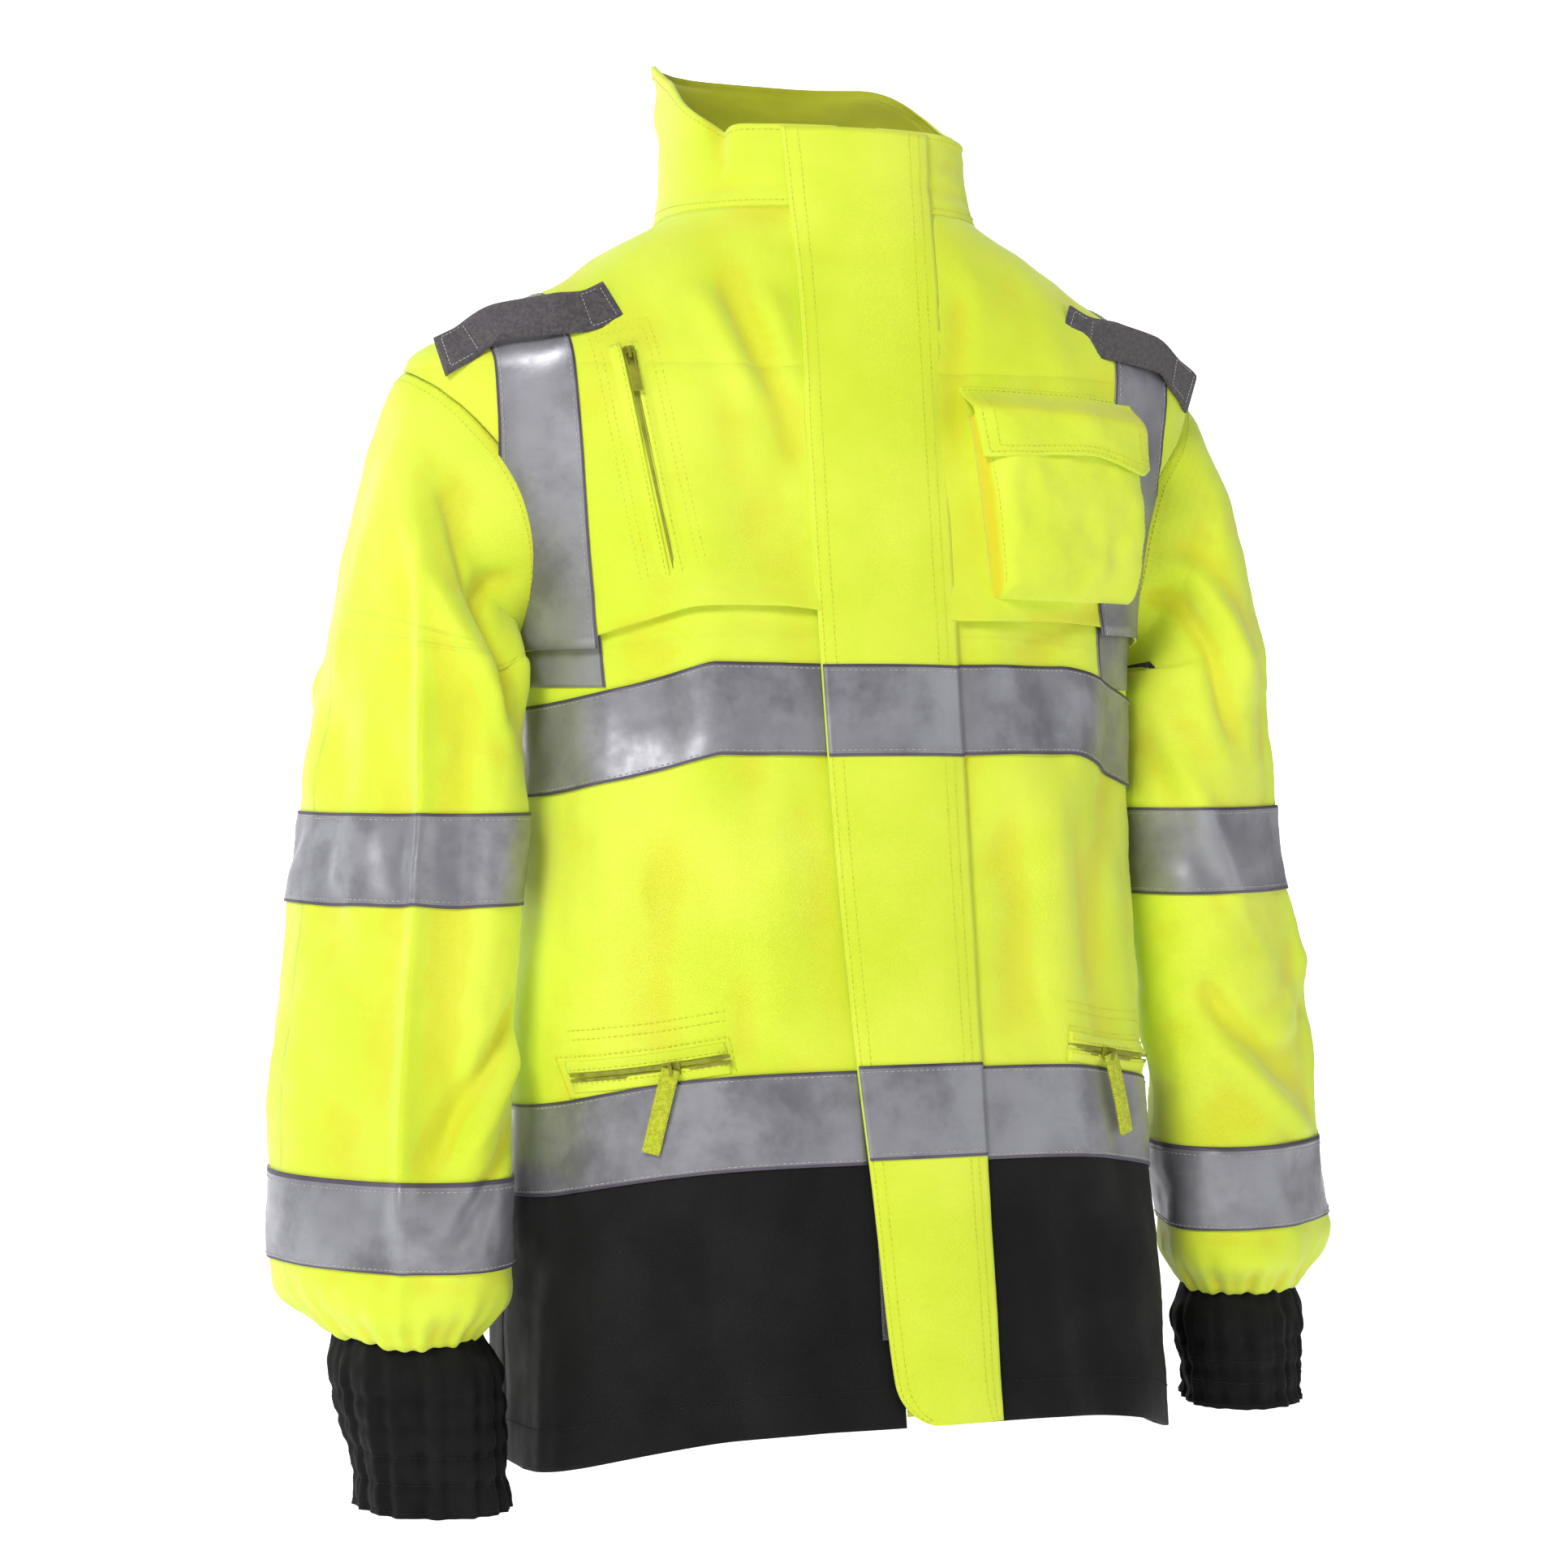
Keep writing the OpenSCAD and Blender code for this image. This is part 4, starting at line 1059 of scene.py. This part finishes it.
def on_sleeve(side, t, phi, out=0.0):
    t, phi = np.broadcast_arrays(np.asarray(t, float), np.asarray(phi, float))
    p = sleeve_form(side, t, phi)
    da, dt = 0.8, 0.02
    around = sleeve_form(side, t, phi + da) - sleeve_form(side, t, phi - da)
    hi, lo = np.minimum(t + dt, len(SLEEVE_RINGS) - 1), np.maximum(t - dt, 0)
    down = sleeve_form(side, hi, phi) - sleeve_form(side, lo, phi)
    n = unit(np.cross(down, around))
    centre = ring_values(t)[..., :3]
    n = n * np.where(np.sum(n * (p - centre), -1) < 0, -1, 1)[..., None]
    relief = sleeve_relief(side, t, phi, p)
    q = p + n * (relief + out)[..., None]
    m = np.array([side, 1, 1])
    return q * m, n * m, relief, p * m


def sleeve_cloth(name, side, t, phi, out, thick, material, rests_on, lining=None, which=None, **where):
    """phi goes round from the outside over the front; the mirrored side runs the other way."""
    phi = np.asarray(phi, float)
    t, phi = np.broadcast_arrays(np.asarray(t, float)[:, None], (phi if side < 0 else phi[::-1])[None, :])
    p, n, relief, form = on_sleeve(side, t, phi, out)
    obj = cloth(name, p, n, thick, material, closed=True, painted_shade=fold_shade_amount(relief), lining=lining, **where)
    if which is not None:
        paint(obj, which)
    declare(obj, np.concatenate([form, form[:, :1]], 1))
    return p, n


around = np.arange(0, 360, 2.0)
for side, word in SIDES:
    bend = SLEEVE_BEND[side]
    t = np.concatenate([np.linspace(0, 1, 14)[:-1], np.linspace(1, 5, 50)[:-1],
                        np.linspace(5, 10, 120)[:-1], np.linspace(10, 12, 26)])
    sleeve_cloth(f"{word}_sleeve_cloth", side, t, around, 0, 1.0, LIME_OXFORD,
                 f"{word}_front", bend=bend)
    t_in = np.concatenate([np.linspace(1.6, 5, 18)[:-1], np.linspace(5, 11.6, 34)])
    sleeve_cloth(f"{word}_sleeve_inside", side, t_in, around[::3], -5.0, 0.6, LINING,
                 f"{word}_sleeve_cloth", bend=bend)
    for label, t0, t1 in (("upper", 6.03, 6.79), ("lower", 8.79, 9.80)):
        part = tape_levels(11) / TAPE_W
        p, n = sleeve_cloth(f"{word}_{label}_sleeve_tape", side, t0 + (t1 - t0) * part, around, 1.4, 0.9,
                            SILVER, f"{word}_sleeve_cloth", TAPE_EDGE,
                            woven_edges(len(part) - 1, len(around)), body=f"{word}_sleeve")
        hoop(p, n, (2, -3), "grey", word, length=2.2)
    for tt in (0.10, 0.32):
        q = np.append(around, 360.0)
        p, n, _, _ = on_sleeve(side, np.full(q.shape, tt), q, 0)
        stitch(p, n, "lime", (f"{word}_sleeve", bend))

# ---------------------------------------------------------------- cuffs
CUFF_RINGS = {
    1: np.array([(258, -34, -610, 0, 35, 39, 5), (257, -38, -633, 0, 37, 41, 5),
                 (255, -43, -652, 0, 43, 47, 6), (254, -48, -675, 0, 40, 44, 5),
                 (253, -52, -700, 0, 37, 41, 4)], float),
    -1: np.array([(257, -34, -610, 0, 35, 39, 5), (255, -38, -633, 0, 38, 42, 5),
                  (251, -43, -652, 0, 45, 48, 6), (249, -48, -675, 0, 44, 46, 5),
                  (247, -53, -700, 0, 42, 44, 4), (246, -58, -725, 0, 41, 43, 4)], float)}


def cuff_point(side, t, phi):
    rings = CUFF_RINGS[side]
    r = np.stack([smooth_table(t, np.stack([np.arange(len(rings)), rings[:, k]], 1))
                  for k in range(7)], -1)
    return ring_point(r, phi)


def cuff_surface(side, t, phi, out=0.0):
    p = cuff_point(side, t, phi)
    centre = cuff_point(side, t, phi + 180)
    n = unit((p - centre) * np.array([1, 1, 0]))
    z, q = p[..., 2], np.radians(phi)
    last = len(CUFF_RINGS[side]) - 1
    sharp = lambda v: np.sign(v) * np.abs(v) ** 0.7
    drift = 1.3 * np.sin(2 * q + side) + 0.02 * z
    pleats = 0.9 * sharp(np.sin(17 * q + drift)) + 0.6 * np.sin(29 * q + 1.7 * drift)
    depth = 0.45 + 0.55 * ease((-640 - z) / 20)
    pull = -0.9 * np.clip(np.sin((z + 652) * 2 * math.pi / 15.0), -0.2, 1) * ease((-650 - z) / 12)
    relief = pleats * depth + pull + 1.2 * ripples(p, 50, 61 + side) + 0.4 * ripples(p, 14, 62)
    relief += 1.4 * bump(t, last, 0.22)
    m = np.array([side, 1, 1])
    return (p + n * (relief + out - 1)[..., None]) * m, n * m, relief, p * m


for side, word in SIDES:
    last = len(CUFF_RINGS[side]) - 1
    q = np.arange(0, 360, 1.5)
    t = np.linspace(0, last, 46 + 10 * last)[:, None] + 0 * q[None, :]
    phi = (q if side < 0 else q[::-1])[None, :] + 0 * t
    p, n, relief, form = cuff_surface(side, t, phi)
    declare(cloth(f"{word}_cuff_cloth", p, n, 1.6, BLACK_KNIT, closed=True,
                  painted_shade=fold_shade_amount(relief), body=f"{word}_sleeve"),
            np.concatenate([form, form[:, :1]], 1))
    hoop(p, n, (-3, -14, -25), "black", word)

# ---------------------------------------------------------------- zips, pockets, tabs
def strip_on(name, x, z, out, thick, material, rests_on=None, **where):
    """A cloth strip on the coat's front: x and z are grids whose rows run down, columns to the left."""
    points, normals = on_front(x, z, out)
    obj = cloth(name, points, normals, thick, material, **where)
    if rests_on:
        declare(obj, body_form(angle_at(x, z), z))


def rise_of(p):
    """How far points stand off the wrinkled front."""
    q, n = on_front(p[:, 0], p[:, 2], 0)
    return np.sum((p - q) * n, -1)


def grid_of(x0, x1, z0, z1, rows, cols):
    return np.meshgrid(np.linspace(x0, x1, cols), np.linspace(z0, z1, rows))


# Hook and loop strips under the storm flap
for i, top in enumerate((-60, -360, -580)):
    x, z = grid_of(-23, -14, top - 1, top - 51, 16, 5)
    s = (x - flap_free_x(z)) / (FLAP_SEWN_X + 5 - flap_free_x(z))
    strip_on(f"hook_strip_{i}", x, z, flap_out(x, z, s) - 1.85, 0.9, HOOK_LOOP,
             bend=FLAP_BEND)
    strip_on(f"loop_strip_{i}", x, z, YOKE_OUT + 1.0 if i == 0 else 1.0, 0.9, HOOK_LOOP)

# Webbing loops over the braces, for a microphone clip
TABS, TAB_W = {-1: ((141.0, -66.0), (229.0, -97.0)), 1: ((126.0, -68.0), (221.0, -101.0))}, 25.0
for side, word in SIDES:
    s = np.linspace(-1, 1, 60)
    tab_in, tab_out = TABS[side]
    x = (tab_in[0] + tab_out[0]) / 2 + s * (tab_out[0] - tab_in[0]) / 2
    z = (tab_in[1] + tab_out[1]) / 2 + s * (tab_out[1] - tab_in[1]) / 2
    z += 2.5 * np.sin(math.pi * s)
    out = 4.6 + 6.2 * ease((0.80 - np.abs(s)) / 0.5)
    a = side * np.degrees(np.arcsin(unbow(x / half_w(z))))
    n = body_normal(a, z)
    mid = body_form(a, z) + n * out[:, None]
    t = unit(np.gradient(mid, axis=0)) * side
    n = unit(n + np.array([0, -0.8, 0]))
    mid = mid + n * 1.5
    across = unit(np.cross(n, t))
    v = np.linspace(-TAB_W / 2, TAB_W / 2, 11)
    edge = 0.5 * np.clip((np.abs(v) - TAB_W / 2 + 1.6) / 1.6, 0, 1)
    points = mid[None] + across[None] * v[::-1, None, None] - n[None] * edge[:, None, None]
    normals = np.broadcast_to(unit(n), points.shape)
    if side < 0:
        points, normals = points[:, ::-1], normals[:, ::-1]
    declare(cloth(f"{word}_mic_loop", points, normals, 1.7, GREY_WEBBING), points)
    cols = points.shape[1]
    for j0, j1 in ((2, 10), (cols - 11, cols - 3)):
        for row in (1, -2):
            stitch(points[row, j0:j1], normals[row, j0:j1], "grey", pitch=2.4, length=1.8)
        for j in (j0, j1):
            stitch(points[1:-1, j], normals[1:-1, j], "grey", pitch=2.4, length=1.8)

# Slanted chest zip on the wearer's right: two lips over the chain, in a stitched window
def turned(v, *turns):
    """A vector turned about the named axes in order, in degrees."""
    v = np.array(v, float)
    for axis, angle in turns:
        i, j = {"x": (1, 2), "y": (2, 0), "z": (0, 1)}[axis]
        c, s = math.cos(math.radians(angle)), math.sin(math.radians(angle))
        v[i], v[j] = c * v[i] - s * v[j], s * v[i] + c * v[j]
    return v


def zip_lips(name, path, cross, gap, edge_out, outer, stitch_rows):
    """Lips either side of a zip path, which dome from the cloth up to the chain."""
    x0, z0 = path[:, 0], path[:, 2]
    rise = np.maximum(rise_of(path), edge_out + 0.6)
    m = len(path)
    ends = ease(np.minimum(np.arange(m), np.arange(m)[::-1]) / 4.0)
    for tag, sign in (("near", -1), ("far", 1)):
        k = np.linspace(0, 1, 9)
        v = sign * (outer + (gap - outer) * k)
        lift = edge_out + (rise[:, None] + 0.7 - edge_out) * ease(k)[None, :] * (0.3 + 0.7 * ends[:, None])
        x = x0[:, None] + v[None, :] * cross[0]
        z = z0[:, None] + v[None, :] * cross[1]
        points, normals = on_front(x, z, lift)
        flip = np.sum(np.cross(points[1, 0] - points[0, 0], points[0, 1] - points[0, 0]) * normals[0, 0]) < 0
        if flip:
            points, normals = points[:, ::-1], normals[:, ::-1]
        declare(cloth(f"{name}_{tag}_lip", points, normals, 0.9, LIME_OXFORD), points)
        row = 2 if flip else -3
        stitch(points[:, row], normals[:, row], "lime")
    for w, stop in stitch_rows:
        corners = [(-stop, -w), (m - 1 + stop, -w), (m - 1 + stop, w), (-stop, w), (-stop, -w)]
        along = (path[-1] - path[0]) / (m - 1)
        line = []
        for (i0, v0), (i1, v1) in zip(corners[:-1], corners[1:]):
            for f in np.linspace(0, 1, 40)[:-1]:
                i, v = i0 + (i1 - i0) * f, v0 + (v1 - v0) * f
                j = min(max(i, 0), m - 1)
                q = path[int(j)] + (path[min(int(j) + 1, m - 1)] - path[int(j)]) * (j - int(j))
                q = q + along * (i - j)
                line.append((q[0] + v * cross[0], q[2] + v * cross[1]))
        line = np.array(line)
        front_seam(line[:, 0], line[:, 1], edge_out)


CHEST_ZIP_L = 136.0
zip_down = turned((0, 0, -1), ("y", -12.2), ("x", -4.83), ("z", -15.7))
steps = np.linspace(1, CHEST_ZIP_L - 1, 60)[:, None]
chest_box = node_box("chest_zip_chain")
front_most = (chest_box[0] + chest_box[1]) / 2
chest_path = front_most + zip_down * (steps - CHEST_ZIP_L / 2)
zip_lips("chest_zip", chest_path, (0.98, 0.18), 2.1, YOKE_OUT + 0.3, 10.5,
         ((13, 3), (17, 5)))

# Lower pockets: a zip on an arc round each hip, with lips and a double row of stitches above it
POCKET_AXIS, POCKET_R, POCKET_Z = (65.6, -5.7), 133.8, -473.0
POCKET_TILT, PULL_AT, PULL_SKEW = 10.0, 28.7, 22.0
for side, word in SIDES:
    turn = np.radians(np.linspace(14.9, 54.9, 60))
    lean_c, lean_s = math.cos(math.radians(POCKET_TILT)), math.sin(math.radians(POCKET_TILT))
    reach = POCKET_R * np.sin(turn)
    path = np.stack([side * (POCKET_AXIS[0] + reach * lean_c),
                     POCKET_AXIS[1] - POCKET_R * np.cos(turn), POCKET_Z - reach * lean_s], -1)
    zip_lips(f"{word}_pocket", path, (side * lean_s, lean_c), 2.0, 0.5, 8.5,
             ((11, 2),))
    for up in (20, 25):
        front_seam(path[:, 0], path[:, 2] + up, 0)
    x, z = grid_of(*sorted((side * 92, side * 176)), POCKET_Z + 10, -640, 40, 24)
    strip_on(f"{word}_bag", x, z, -5.0, 0.8, LINING, f"{word}_front_inside")
    lo, hi = node_box(f"{word}_pocket_pull")
    mirror = np.array([side, 1, 1])
    hang = (("x", -math.degrees(LEAN) - 1), ("y", -PULL_SKEW), ("z", PULL_AT), ("y", POCKET_TILT))
    away, along, down = (turned(v, *hang) * mirror * flip
                         for v, flip in (((0, -1, 0), 1), ((1, 0, 0), side), ((0, 0, -1), 1)))
    centre = (lo + hi) / 2
    length = (hi[2] - lo[2]) / -down[2] - 2
    s, v = np.linspace(0, 1, 30), np.linspace(-4.9, 4.9, 9)
    bow_out = 0.7 * np.sin(s * math.pi) - 0.5 * s
    points = (centre + down * ((s - 0.5) * length)[:, None, None] + along * v[None, :, None]
              + away * (bow_out[:, None, None] + 0.9))
    normals = np.broadcast_to(away, points.shape)
    declare(cloth(f"{word}_webbing_pull", points, normals, 1.9, LIME_WEBBING,
                  body=f"{word}_pull"), points)
    for j in (1, -2):
        stitch(points[6:-1, j], normals[6:-1, j], "lime", (f"{word}_pull", None), pitch=2.6, length=1.9)
    stitch(points[5, 1:-1], normals[5, 1:-1], "lime", (f"{word}_pull", None), pitch=1.6, length=1.3)

# Cargo pocket on the wearer's left: a bellows pouch, open under its flap
POUCH_X, POUCH_TOP, POUCH_BOTTOM, POUCH_HALF, POUCH_DEEP = 114.0, -124.0, -228.0, 52.0, 19.0


def pouch_x(u, z):
    v = np.clip((POUCH_TOP - z) / (POUCH_TOP - POUCH_BOTTOM), -0.3, 1)
    return POUCH_X + 3.0 * (2 * v - 1) + u * POUCH_HALF * (1 - 0.05 * v)


def pouch_depth(u, z):
    v = np.clip((POUCH_TOP - z) / (POUCH_TOP - POUCH_BOTTOM), 0, 1)
    side_wall = np.sqrt(np.clip(1 - np.abs(u) ** 12, 0, 1))
    foot = np.sqrt(np.clip(1 - v ** 14, 0, 1))
    belly = 0.80 + 0.26 * np.sin(np.pi * np.clip(v, 0, 1)) * (1 - 0.4 * u * u) - 0.08 * u
    return POUCH_DEEP * side_wall * foot * belly


u = np.sin(np.linspace(-math.pi / 2, math.pi / 2, 70))[None, :]
v = np.concatenate([np.linspace(0, 0.9, 40), 0.9 + 0.1 * np.sin(np.linspace(0.05, 1, 22) * math.pi / 2)])
z = POUCH_TOP + (POUCH_BOTTOM - POUCH_TOP) * v[:, None] + 0 * u
u = u + 0 * z
x = pouch_x(u, z)
flat = np.stack([x, 0 * x, z], -1)
ripple = 0.8 * ripples(flat, 46, 71) + 0.3 * ripples(flat, 17, 72)
dent = fold(x, z, [(78, -150), (84, -190), (80, -222)], 7, -2.2) + \
    fold(x, z, [(150, -160), (140, -195), (146, -224)], 8, -2.0) + \
    fold(x, z, [(96, -214), (120, -206), (146, -214)], 7, 1.6)
deep = pouch_depth(u, z)
lift = YOKE_OUT + 0.4 + deep + (ripple + dent) * np.clip(deep / 12, 0, 1)
points, normals = on_front(x, z, lift)
fine = unit(np.cross(np.gradient(points, axis=1), -np.gradient(points, axis=0)))
# Painted shade on the pouch's side walls, deepest along the inner gusset.
gusset_shade = ease((-0.93 - u) / 0.05) * 0.9 + ease((u - 0.95) / 0.04) * 0.4
declare(cloth("cargo_pouch_cloth", points, fine, 1.0, LIME_OXFORD, painted_shade=gusset_shade),
        points)
flat_u = np.abs(u[0]) < 0.93
for row in (2, 7):
    stitch(points[row][flat_u], fine[row][flat_u], "lime")
for col in (np.argmin(np.abs(u[0] + 0.93)), np.argmin(np.abs(u[0] - 0.93))):
    stitch(points[:44, col], fine[:44, col], "lime")
q = np.linspace(POUCH_TOP + 4, POUCH_BOTTOM - 1, 50)
for sign in (-1, 1):
    front_seam(pouch_x(sign * 1.03, q), q, YOKE_OUT)
q = np.linspace(-1.03, 1.03, 60)
front_seam(pouch_x(q, np.full(q.shape, POUCH_BOTTOM)), POUCH_BOTTOM - 1.5 + 0 * q, YOKE_OUT)

# The flap hangs from a sewn edge over the pouch's mouth; its outer corner comes to a point
cols, rows = 60, 40
u = np.linspace(-1.06, 1.06, cols)[None, :]
s = np.linspace(0, 1, rows)[:, None]
sewn_z = -107 - 3.0 * (u + 1) / 2
free_z = -149 - 5.0 * ease((u - 0.2) / 0.7) + 1.5 * np.sin(u * 3 + 1) + 5 * ease((u - 0.86) / 0.2)
z = sewn_z + s * (free_z - sewn_z)
x = pouch_x(u, np.clip(z, POUCH_BOTTOM, POUCH_TOP + 20)) + 0 * s
over = POUCH_DEEP * (0.80 + 0.24 * np.clip((POUCH_TOP - z) / 52, 0, 1)) + 4.2
lift = YOKE_OUT + 1.2 + (over - 1.2) * ease((sewn_z - z) / 17) * (1 - 0.22 * np.abs(u) ** 6)
lift += 1.3 * np.sin(u * 4.2 + 0.5) * s ** 2 + 0.5 * ripples(np.stack([x, 0 * x, z], -1), 26, 73)
points, normals = on_front(x, z, lift)
fine = unit(np.cross(np.gradient(points, axis=1), -np.gradient(points, axis=0)))
# Painted shade in a band just below the flap's sewn edge, where it turns out over the pouch.
declare(cloth("cargo_flap_cloth", points, fine, 1.6, LIME_OXFORD, body="cargo_flap",
              painted_shade=0.3 * ease((sewn_z - z) / 14) * (1 - ease((sewn_z - z - 12) / 10))), points)
flap_at = ("cargo_flap", None)
for inset in (2, 5):
    ring = [(rows - 1 - inset, j) for j in range(inset, cols - inset)]
    ring = [(i, inset) for i in range(3, rows - inset)] + ring
    ring += [(i, cols - 1 - inset) for i in range(rows - 1 - inset, 2, -1)]
    i, j = np.array(ring).T
    stitch(points[i, j], fine[i, j], "lime", flap_at)
stitch(points[2], fine[2], "lime", flap_at)
for i, at in enumerate((-0.5, 0.5)):
    x, z = grid_of(POUCH_X + at * 52 - 11, POUCH_X + at * 52 + 11, POUCH_TOP - 3, POUCH_TOP - 17, 8, 8)
    deep = pouch_depth((x - POUCH_X) / POUCH_HALF, z)
    strip_on(f"pouch_loop_pad_{i}", x, z, YOKE_OUT + 0.9 + deep, 0.7, HOOK_LOOP)

make_stitches(THREADS)

# ---------------------------------------------------------------- CAD pieces shown or replaced
REPLACED = {
    "back_cloth": "back_panel", "back_hem": "back_hem_panel", "back_inside": "back_lining",
    "storm_flap_cloth": "storm_flap", "flap_chest_silver": "flap_chest_tape",
    "flap_waist_silver": "flap_waist_tape", "collar_cloth": "collar", "collar_stand_lining": "collar_lining",
    "hook_strip_0": "flap_hook_strip", "loop_strip_0": "front_loop_strip",
    "chest_zip_near_lip": "chest_zip_welt", "cargo_pouch_cloth": "cargo_pouch",
    "cargo_flap_cloth": "cargo_flap", "pouch_loop_pad_0": "cargo_closure"}
for _, word in SIDES:
    for piece, node in (("front", "front_panel"), ("front_hem", "hem_panel"), ("yoke", "front_yoke"),
                        ("front_inside", "front_lining"), ("brace_tape", "brace"),
                        ("sleeve_cloth", "sleeve"), ("sleeve_inside", "sleeve_lining"),
                        ("upper_sleeve_tape", "sleeve_tapes"), ("cuff_cloth", "cuff"),
                        ("mic_loop", "mic_tab"), ("pocket_near_lip", "pocket_welt"),
                        ("bag", "pocket_bag"), ("webbing_pull", "pocket_pull")):
        REPLACED[f"{word}_{piece}"] = f"{word}_{node}"
for place in ("right", "left", "back"):
    for label in ("chest", "waist"):
        REPLACED[f"{label}_tape_{place}"] = f"{label}_band_{place}"
for name, node in REPLACED.items():
    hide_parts(node)

CAD_FINISH = {
    "hanger_loop": BLACK_KNIT, "zip_guard": LIME_OXFORD, "main_zip_tape_right": ZIP_TAPE,
    "main_zip_tape_left": ZIP_TAPE, "main_zip_chain": ZIP_PLASTIC, "main_zip_stops": ZIP_PLASTIC,
    "main_zip_slider": SLIDER_METAL, "chest_zip_chain": ZIP_DARK, "chest_zip_slider": SLIDER_DARK,
    "chest_zip_pull": SLIDER_DARK, "right_pocket_zip": ZIP_DARK, "left_pocket_zip": ZIP_DARK,
    "right_pocket_slider": SLIDER_DARK, "left_pocket_slider": SLIDER_DARK,
}
for node, finish in CAD_FINISH.items():
    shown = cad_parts[node]
    shown.data.materials.clear()
    shown.data.materials.append(finish)

# ---------------------------------------------------------------- studio
def studio_material(name, tone):
    look = Look(name, 0.95)
    look.colour(look.mix(look.span(look.noise(3, 2), 0.2, 0.8), tone, rgb(250, 250, 250)))
    look.shader.inputs["Emission Color"].default_value = (1, 1, 1, 1)
    where = look.nodes.new("ShaderNodeSeparateXYZ")
    look.link(look.coords.outputs["Object"], where.inputs[0])
    glow = look.nodes.new("ShaderNodeMapRange")
    for name, value in (("From Min", 0.7), ("From Max", 2.6), ("To Min", 0.5), ("To Max", 1.0)):
        glow.inputs[name].default_value = value
    look.link(where.outputs["Y"], glow.inputs["Value"])
    look.link(glow.outputs["Result"], look.shader.inputs["Emission Strength"])
    return look.mat


FLOOR_Z, SWEEP, FLOOR_HALF, WALL_Y, WALL_TOP = -830.0, 400.0, 9000, 8600, 5200
path = [(-FLOOR_HALF, FLOOR_Z), (1200, FLOOR_Z)]
path += [(WALL_Y + SWEEP * math.sin(k), FLOOR_Z + SWEEP * (1 - math.cos(k)))
         for k in np.linspace(0, math.pi / 2, 16)]
path += [(WALL_Y + SWEEP, WALL_TOP)]
sweep_verts = [(x / 1000, y / 1000, z / 1000) for y, z in path for x in (-FLOOR_HALF, FLOOR_HALF)]
sweep_faces = [(2 * i, 2 * i + 1, 2 * i + 3, 2 * i + 2) for i in range(len(path) - 1)]
data = bpy.data.meshes.new("floor")
data.from_pydata(sweep_verts, [], sweep_faces)
data.polygons.foreach_set("use_smooth", [True] * len(data.polygons))
data.materials.append(studio_material("paper_floor", rgb(252, 252, 252)))
floor = bpy.data.objects.new("floor", data)
bpy.context.scene.collection.objects.link(floor)
floor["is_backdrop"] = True

world = bpy.data.worlds.new("studio")
bpy.context.scene.world = world
world.use_nodes = True
world.node_tree.nodes["Background"].inputs["Color"].default_value = (1, 1, 1, 1)
world.node_tree.nodes["Background"].inputs["Strength"].default_value = 0.24


def area_light(name, place, target, size, watts, tone=(1, 1, 1)):
    light = bpy.data.lights.new(name, "AREA")
    light.shape, light.size, light.size_y = "RECTANGLE", size[0], size[1]
    light.energy, light.color = watts, tone
    obj = bpy.data.objects.new(name, light)
    obj.location = place
    look = Vector(target) - Vector(place)
    obj.rotation_euler = look.to_track_quat("-Z", "Y").to_euler()
    bpy.context.scene.collection.objects.link(obj)
    obj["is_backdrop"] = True


CENTRE = (0, 0, -0.33)
area_light("key", (-1.9, -1.9, 1.5), CENTRE, (1.0, 1.0), 58, (1, 0.99, 0.97))
area_light("fill", (2.3, -2.0, 0.5), CENTRE, (1.8, 1.8), 9, (0.97, 0.98, 1))
area_light("edge", (-2.2, 1.2, 0.8), CENTRE, (1.2, 1.6), 12)
area_light("backdrop", (0, 0.9, 1.6), (0, 2.4, 0.2), (3, 1), 40)

CAMERA_AZ, CAMERA_EL, CAMERA_FAR = math.radians(-20.0), math.radians(0.8), 2.0
TARGET_Z, TARGET_ASIDE = -0.333, -0.0185
camera_data = bpy.data.cameras.new("camera")
camera_data.lens, camera_data.sensor_width = 78.3, 36
camera = bpy.data.objects.new("camera", camera_data)
target = Vector((TARGET_ASIDE * math.cos(CAMERA_AZ), TARGET_ASIDE * math.sin(CAMERA_AZ), TARGET_Z))
away = Vector((math.sin(CAMERA_AZ) * math.cos(CAMERA_EL), -math.cos(CAMERA_AZ) * math.cos(CAMERA_EL),
                  math.sin(CAMERA_EL)))
camera.location = target + away * CAMERA_FAR
camera.rotation_euler = (-away).to_track_quat("-Z", "Y").to_euler()
bpy.context.scene.collection.objects.link(camera)
bpy.context.scene.camera = camera
bpy.context.scene.view_settings.view_transform = "Standard"

low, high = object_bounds()
